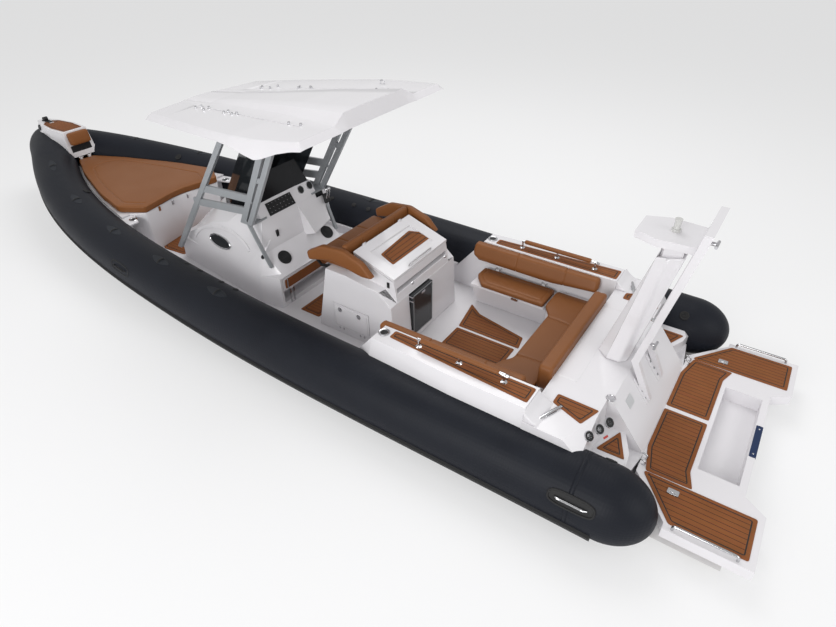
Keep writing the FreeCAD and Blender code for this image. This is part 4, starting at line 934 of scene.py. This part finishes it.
sweep = np.linspace(-48, 48, 13) / tube_radius
arch = 3 + 12 * np.sin(np.linspace(0, math.pi, 13))
turns = np.linspace(0, 2 * math.pi, 61)
for side, name in sides:
    loops = [rod(tube_skin(np.full(13, x), patch_angle + sweep, arch, side), 12, flat=0.32)
             for x in patch_stations]
    loops += [turned([(0, 9), (20, 8), (32, 4), (36, -6)], *on_tube(x, 121, side))
              for x in (4486, 4736, 5129, 5379)]
    valve = [(0, 5), (14, 5), (17, 9), (23, 9), (26, 5), (38, 5), (44, 8), (50, 2), (51, -6)]
    loops += [turned(valve, *on_tube(x, degrees, side)) for x, degrees in ((8049, 125), (171, 133))]
    bars = []
    long, high = 370, 116
    for x, degrees in ((6155, 18), (308, 27)):
        rim = handle_line(x, degrees, long, high, 5, side, turns)
        loops.append(rod(rim, 9, flat=0.9))
        loops.append((np.stack([handle_line(x, degrees, long * k, high * k, 3, side, turns[:-1])
                                for k in (1, 0.66, 0.33, 0.02)]).reshape(-1, 3),
                      [grid_faces(4, 60, closed=True)]))
        grip = np.linspace(-1, 1, 21)
        lift = 2 + 26 * np.clip((1 - np.abs(grip)) * 5, 0, 1)
        bars.append(rod(tube_skin(x + grip * 130, math.radians(degrees), lift, side), 10, flat=0.8))
    piece(f"tube_rubbers_{name}", loops, "boat", "strake_rubber", [strake_rubber])
    piece(f"carry_grip_{name}", bars[:1], "boat", "strake_rubber", [strake_rubber])
    piece(f"carry_bar_{name}", bars[1:], *steel_on_boat)

# Side deck hardware. Steel cup holders, padded grab rails on steel feet, mooring cleats and fillers are
# screwed to the coamings and the quarters, with sockets and a blank plate on the slopes behind them.
cup = [(0, 1.2), (37, 1.2), (42, 5), (52, 6), (57, 3), (58, -4)]
cup_floor = [(0, 2.2), (33, 2.2), (37, 1.4), (38, -4)]
coaming_top, quarter_top = 561, 450
cups = [(x, side * y, z) for x, y, z in ((2471, 1111, coaming_top), (6953, 809, 398)) for side in (1, -1)]
piece("cup_rims", [turned(cup, at, (0, 0, 1)) for at in cups], *steel_on_boat)
piece("cup_floors", [turned(cup_floor, at, (0, 0, 1)) for at in cups], *black_on_boat)
feet, rolls, cleats = [], [], []
rail_line, rail_height, cleat_height = 1108, 645, 466
for side in (1, -1):
    feet += [turned([(0, 7), (14, 7), (20, 5), (30, 3), (31, -3)], (x, side * rail_line, coaming_top),
                    (0, 0, 1)) for x in (1193, 1641, 2075)]
    feet += plate(oblong(96, 40), 9, upright((1193, side * rail_line, 637), (1, 0, 0.1), (0, 1, 0),
                                             (0, 0, 1)))
    rolls.append(rod([(x, side * rail_line, rail_height) for x in (1262, 1450, 1850, 2030)], 25, count=18))
    horn = [(x, side * y, z) for x, y, z in ((789, 1230, 462), (765, 1175, cleat_height),
                                             (721, 1070, cleat_height), (697, 1014, 462))]
    cleats.append(rod(horn, 15, bend=20, flat=0.55))
    cleats += plate(oblong(120, 46), 8, upright((743, side * 1122, quarter_top), (-0.39, -side * 0.92, 0),
                                                (0.92, -side * 0.39, 0), (0, 0, 1)))
    cleats.append(rod([(743, side * 1122, 452), (743, side * 1122, cleat_height)], 13))
piece("rail_feet", feet, *steel_on_boat)
piece("rail_rolls", rolls, "boat", "upholstery", [vinyl])
piece("stern_cleats", cleats, *steel_on_boat)
cap = [(0, 5), (24, 5), (27, 3), (32, 3), (34, 6), (40, 6), (44, -3)]
fillers = [turned(cap, at, (0, 0, 1)) for at in ((383, 670, quarter_top), (383, -670, quarter_top))]
for x, y in ((-320, 969), (-330, -980)):
    fillers += plate(rectangle(-46, -30, 46, 30), 8, upright((x, y, 5), *facing_up), radius=16)
    fillers += plate(oblong(54, 26), 13, upright((x, y, 5), *facing_up))
for side in (1, -1):
    fillers += [rod([(2, side * y, -14), (-42, side * y, 4), (-42, side * y, 40), (2, side * y, 58)], 8,
                    bend=20, up=(0, 1, 0)) for y in (735, 812)]
piece("deck_fillers", fillers, *steel_on_boat)
facet_middle, facet_out = socket_facet
socket_places = [(396, 1134, 390), facet_middle, (309, 896, 390)]
socket = [(0, 6), (22, 6), (25, 9), (34, 9), (36, 12), (40, 7), (44, -4)]
socket_rim = [(39, 6), (41, 9), (45, 7), (47, -3)]
piece("stern_sockets", [turned(socket, at, facet_out) for at in socket_places], *black_on_boat)
piece("stern_socket_rims", [turned(socket_rim, at, facet_out) for at in socket_places], *steel_on_boat)
red_tab = finish("red_plastic", (0.42, 0.03, 0.022), (0.33, 0.022, 0.017), 0.4, patch=8.0, depth=0.00005)
tab_place = upright((289, 1013, 333), (-0.36, -0.93, 0), (0.67, -0.26, 0.69), facet_out)
piece("battery_tab", plate(rectangle(-26, -9, 26, 9), 6, tab_place), "boat", "black_trim", [red_tab])
slope_up, slope_out = (0.62, 0, 0.78), (-0.78, 0.0, 0.62)
slope_place = upright((253, 467, 317), (0, -1, 0), slope_up, slope_out)
piece("blank_plate", plate(rectangle(-62, -46, 62, 46), 2, slope_place), "boat", "light_shell", [pale_key])

# Deck infill. White moulded panels, bonded in place, close the deck behind the sofa and ramp the
# coamings' ends down to the quarters.
piece("sofa_deck_panel", faced(rectangle(700, -640, 904, 640), 424, quarter_top, 2, 6, 30)[0], *white_on_boat)
ramps = []
for side in (1, -1):
    ramps += faced([(-906, 448), (-760, 448), (-850, 500), (-906, 552)], 1006, 1336, 14, 20, 12,
                   place=upright((0, 0, 0), *facing_out(side)))[0]
piece("coaming_ramps", ramps, *white_on_boat)

# Engine pad. Navy plastic that spares the moulding where the engines clamp on: a plate on the board
# and a strip screwed over the platform's aft rim.
navy = finish("navy_plastic", (0.011, 0.028, 0.085), (0.008, 0.021, 0.068), 0.42, patch=6.0, grain=240.0,
              depth=0.0001, Specular_IOR_Level=0.3)
dress(navy, "engine_pad")
piece("engine_rim_pad", plate(rectangle(-28, -215, 29, 215), 5, upright((-794, 0, 0), *facing_up), radius=8,
                              step=30), "boat", "black_trim", [navy])
piece("engine_pad_screws", [turned([(0, 8), (5, 8), (9, 5), (10, 3)], (-794, y, 0), (0, 0, 1), 14)
                            for y in (-170, 170)], *steel_on_boat)

# Vents. Two white moulded plates are screwed to the slope under the mast, with three slots in each to let air
# through to the space below. No slot is cut: a grey plate stands in each one's place as painted shade.
vents, slot_shade_plates = [], []
for side in (1, -1):
    middle = np.array([225, side * 190, 281])
    slope_axes = (0, -side, 0), slope_up, slope_out
    vents += plate([(-75, -150), (75, -150), (60, 130), (-60, 130)], 7, upright(middle, *slope_axes), edge=3,
                   radius=18)
    for row in (-95, -20, 55):
        # grey oblongs proud of the vent stand for the slot openings: painted shade, not holes
        slot_shade_plates += plate(oblong(92, 22), 9, upright(middle + row * np.array(slope_up), *slope_axes))
piece("stern_vents", vents, *white_on_boat)
# the slots' dark is painted shade on solid plates in grey trim
piece("stern_vent_slot_shade", slot_shade_plates, "boat", "black_trim", [grey_trim])

# Post fittings. The side hatch has a raised panel and two round steel latches. Black catches hold the
# worktop down at its corners, and two steel knobs stand on the aft face.
hatch_face = upright((0, 642, 0), *facing_out(1))
piece("hatch_panel", plate(rectangle(-3530, -60, -3080, 200), 5, hatch_face, edge=3, radius=40),
      "side_hatch", "gelcoat", [grip_gelcoat])
latches = [turned([(0, 10), (6, 10), (8, 7), (20, 7), (24, 9), (30, 6), (31, 0)], (x, 642, 160), (0, 1, 0))
           for x in (3460, 3190)]
piece("hatch_latches", latches, "side_hatch", "polished", [steel])
catches = []
for side in (1, -1):
    catches += plate(rectangle(-16, -48, 16, 20), 8,
                     upright((2850, side * 521, 655), *facing_out(side)), edge=3, radius=6)
    catches.append(rod([(2850, side * 533, 615), (2850, side * 533, 663)], 7))
piece("lid_catches", catches, *black_on_boat)
knobs = [turned([(0, 12), (11, 12), (14, 8), (20, 3), (21, -3)], (2700, y, 600), (-1, 0, 0))
         for y in (291, -369)]
piece("post_knobs", knobs, *steel_on_boat)

# Console fittings. A black cap on the port shoulder, the throttle box to starboard with its steel levers
# and a key panel beside the dials are screwed on. A rib moulded with the wall arches over each window.
piece("console_cap", [turned([(0, 6), (16, 6), (20, 9), (26, 7), (28, -4)], (4698, 577, 417),
                             (0.02, 0.88, 0.48))], *black_on_boat)
arch_way = soft_line([(6080, 270), (5990, 400), (5800, 500), (5560, 570), (5286, 590), (5120, 550),
                      (5000, 440), (4900, 320)], 230, 30, False)
arch_edges = [offset_line(arch_way, o, False) for o in (-22.0, -8.0, 8.0, 22.0)]
for side, name in sides:
    strip = np.stack([np.c_[e[:, 0], np.full(len(e), side * (640 - 0.22 * e[:, 1].clip(0, 700)).mean()),
                            e[:, 1]] for e in arch_edges], axis=1)
    arch_rib = laid_on(piece(f"console_arch_{name}", [(strip, [grid_faces(len(arch_way), 4)])],
                             *white_on_boat), "console", 0.013)
    soft = arch_rib.modifiers.new("soft", "BEVEL")
    soft.width = 0.006
    soft.segments = 3
pod_axes = (0, -1, 0), (0.36, 0, 0.93), (-0.93, 0.0, 0.36)
piece("key_panel", plate(rectangle(-64, -38, 64, 38), 6,
                         upright((4722, -520, 826), *pod_axes)), "boat", "black_trim", [screen_glass])
throttle = plate([(-50, -62), (50, -62), (38, 62), (-38, 62)], 46, upright((4655, -560, 760), *pod_axes),
                 edge=14, radius=22)
piece("throttle_box", throttle, *black_on_boat)
lever_lines = (-582, -538)
levers = [rod([(4612, y, 776), (4588, y, 842), (4600, y, 906)], 9, bend=20, up=(0, 1, 0))
          for y in lever_lines]
levers += [turned([(0, 8), (17, 8), (22, 0), (22, -20)], (4600, y, 906), (0, 0, 1)) for y in lever_lines]
piece("throttle_levers", levers, *steel_on_boat)

# Footrest. A hinged board with a foam pad and two bent steel arms, folded up against the console over
# the feet's recess.
piece("footrest_pad", plate(rectangle(-575, 14, 575, 140), 6, upright((4385, 0, 52), *facing_aft), edge=2,
                            radius=16, step=40), "footrest", "deck_foam", [foam_border])
arms = [rod([(4384, side * 540, 60), (4376, side * 540, 80), (4376, side * 540, 190)], 8, bend=10,
            up=(0, 1, 0)) for side in (1, -1)]
piece("footrest_arms", arms, "footrest", "polished", [steel])

# Hardtop fittings. Polished steel: an eye near the starboard edge, and small round studs screwed to the
# roof in pairs along the slots.
stud = [(0, 24), (9, 24), (13, 18), (13, 4), (17, 2), (17, -4)]
studs = [rod([(x, -955, z) for x, z in ((3915, 2203), (3915, 2242), (3967, 2240), (3967, 2199))], 7, bend=16,
             up=(0, 1, 0))]
for x, y in ((5447, 502), (5416, 451), (5235, 561), (5272, 463), (4884, 578), (4866, 533), (4732, 601),
             (4690, 570), (3823, 687), (3664, 690)):
    for side in (1, -1):
        studs.append(turned(stud, (x, side * y, float(roof_plane(x))), (0.094, 0, 1), 12))
piece("roof_fittings", studs, *steel_on_boat)

# Bow fittings. Two lamps are let into the step's sides, and a black panel lies under the small backrest.
# Vinyl straps and steel latches hold the sun pad, and white corner shelves carry the cup holders.
lamps = [turned([(0, 4), (30, 4), (34, 8), (44, 7), (48, -4)], (10166, side * 160, 903),
                (0.11, side * 0.98, 0.14)) for side in (1, -1)]
piece("bow_lamps", lamps, "boat", "black_trim", [screen_glass])
back_panel = upright((9349, 0, 556), (0, -1, 0), (0.13, 0, 0.99), (-0.99, 0, 0.13))
piece("bow_back_panel", plate(rectangle(-165, 8, 165, 182), 8, back_panel, edge=3, radius=14, step=20),
      *black_on_boat)
straps, hasps = [], []
for y in (385, -385):
    straps += plate(rectangle(-y - 16, 352, -y + 16, 420), 7, upright((6962, 0, 0), *facing_aft))
piece("pad_straps", straps, "boat", "upholstery", [vinyl])
for y in (130, -130):
    hasps += plate(rectangle(-y - 17, 338, -y + 17, 402), 6, upright((7012, 0, 0), *facing_aft), edge=2)
    hasps.append(rod([(7003, y, 346), (6999, y, 384)], 7, up=(0, 1, 0)))
piece("locker_latches", hasps, *steel_on_boat)
shelves = []
for side in (1, -1):
    shelf = [(6850, side * 800), (6850, side * 946), (7112, side * 893), (7112, side * 690)]
    shelves += faced(shelf, 368, 398, 8, 20, 14)[0]
piece("bow_shelves", shelves, *white_on_boat)

# Floor, lights and camera. The water is a plain pale floor at its own level. Three broad soft lamps
# stand high to starboard, wide to port and astern, in an even white surround.
floor_mesh = bpy.data.meshes.new("water_floor")
far = 90
floor_mesh.from_pydata([(-far, -far, 0), (far, -far, 0), (far, far, 0), (-far, far, 0)], [], [(0, 1, 2, 3)])
floor_object = bpy.data.objects.new("water_floor", floor_mesh)
bpy.context.scene.collection.objects.link(floor_object)
paper = bpy.data.materials.new("pale_floor")
paper.use_nodes = True
tree = paper.node_tree
tree.nodes.remove(tree.nodes["Principled BSDF"])
matt = new_node(tree, "BsdfDiffuse", {"Color": (0.86, 0.86, 0.87, 1.0)})
glow = new_node(tree, "Emission", {"Color": (1.0, 1.0, 1.0, 1.0), "Strength": 0.9})
share = new_node(tree, "Math", {1: 0.55}, operation="MULTIPLY")
rays = new_node(tree, "LightPath")
mixed = new_node(tree, "MixShader")
wire(tree, (rays.outputs["Is Camera Ray"], share.inputs[0]), (share.outputs[0], mixed.inputs[0]),
     (matt.outputs[0], mixed.inputs[1]), (glow.outputs[0], mixed.inputs[2]),
     (mixed.outputs[0], tree.nodes["Material Output"].inputs["Surface"]))
floor_mesh.materials.append(paper)
scene = bpy.context.scene
scene.world = bpy.data.worlds.new("even_surround")
scene.world.use_nodes = True
surround = scene.world.node_tree.nodes["Background"]
surround.inputs["Color"].default_value = (1.0, 1.0, 1.0, 1.0)
surround.inputs["Strength"].default_value = 0.6
aim = Vector((-0.5, 0.0, 0.8))
for name, place, size, power in (("high_lamp", (0.5, -4.0, 9.5), 7.0, 420.0),
                                 ("side_lamp", (-2.5, 13.0, 6.0), 8.0, 1000.0),
                                 ("stern_lamp", (-11.0, 1.5, 5.0), 6.0, 190.0)):
    lamp = bpy.data.lights.new(name, "AREA")
    lamp.shape = "DISK"
    lamp.size = size
    lamp.energy = power
    stand = bpy.data.objects.new(name, lamp)
    stand.location = place
    stand.rotation_euler = (aim - Vector(place)).to_track_quat("-Z", "Y").to_euler()
    scene.collection.objects.link(stand)
scene.view_settings.view_transform = "Standard"
view = bpy.data.cameras.new("photo_camera")
view.lens = 24.976
view.clip_end = 300.0
camera = bpy.data.objects.new("photo_camera", view)
camera.location = (-4.965089, 4.575177, 4.258415)
camera.rotation_euler = [math.radians(t) for t in (54.000568, 0.390047, -146.209451)]
scene.collection.objects.link(camera)
scene.camera = camera
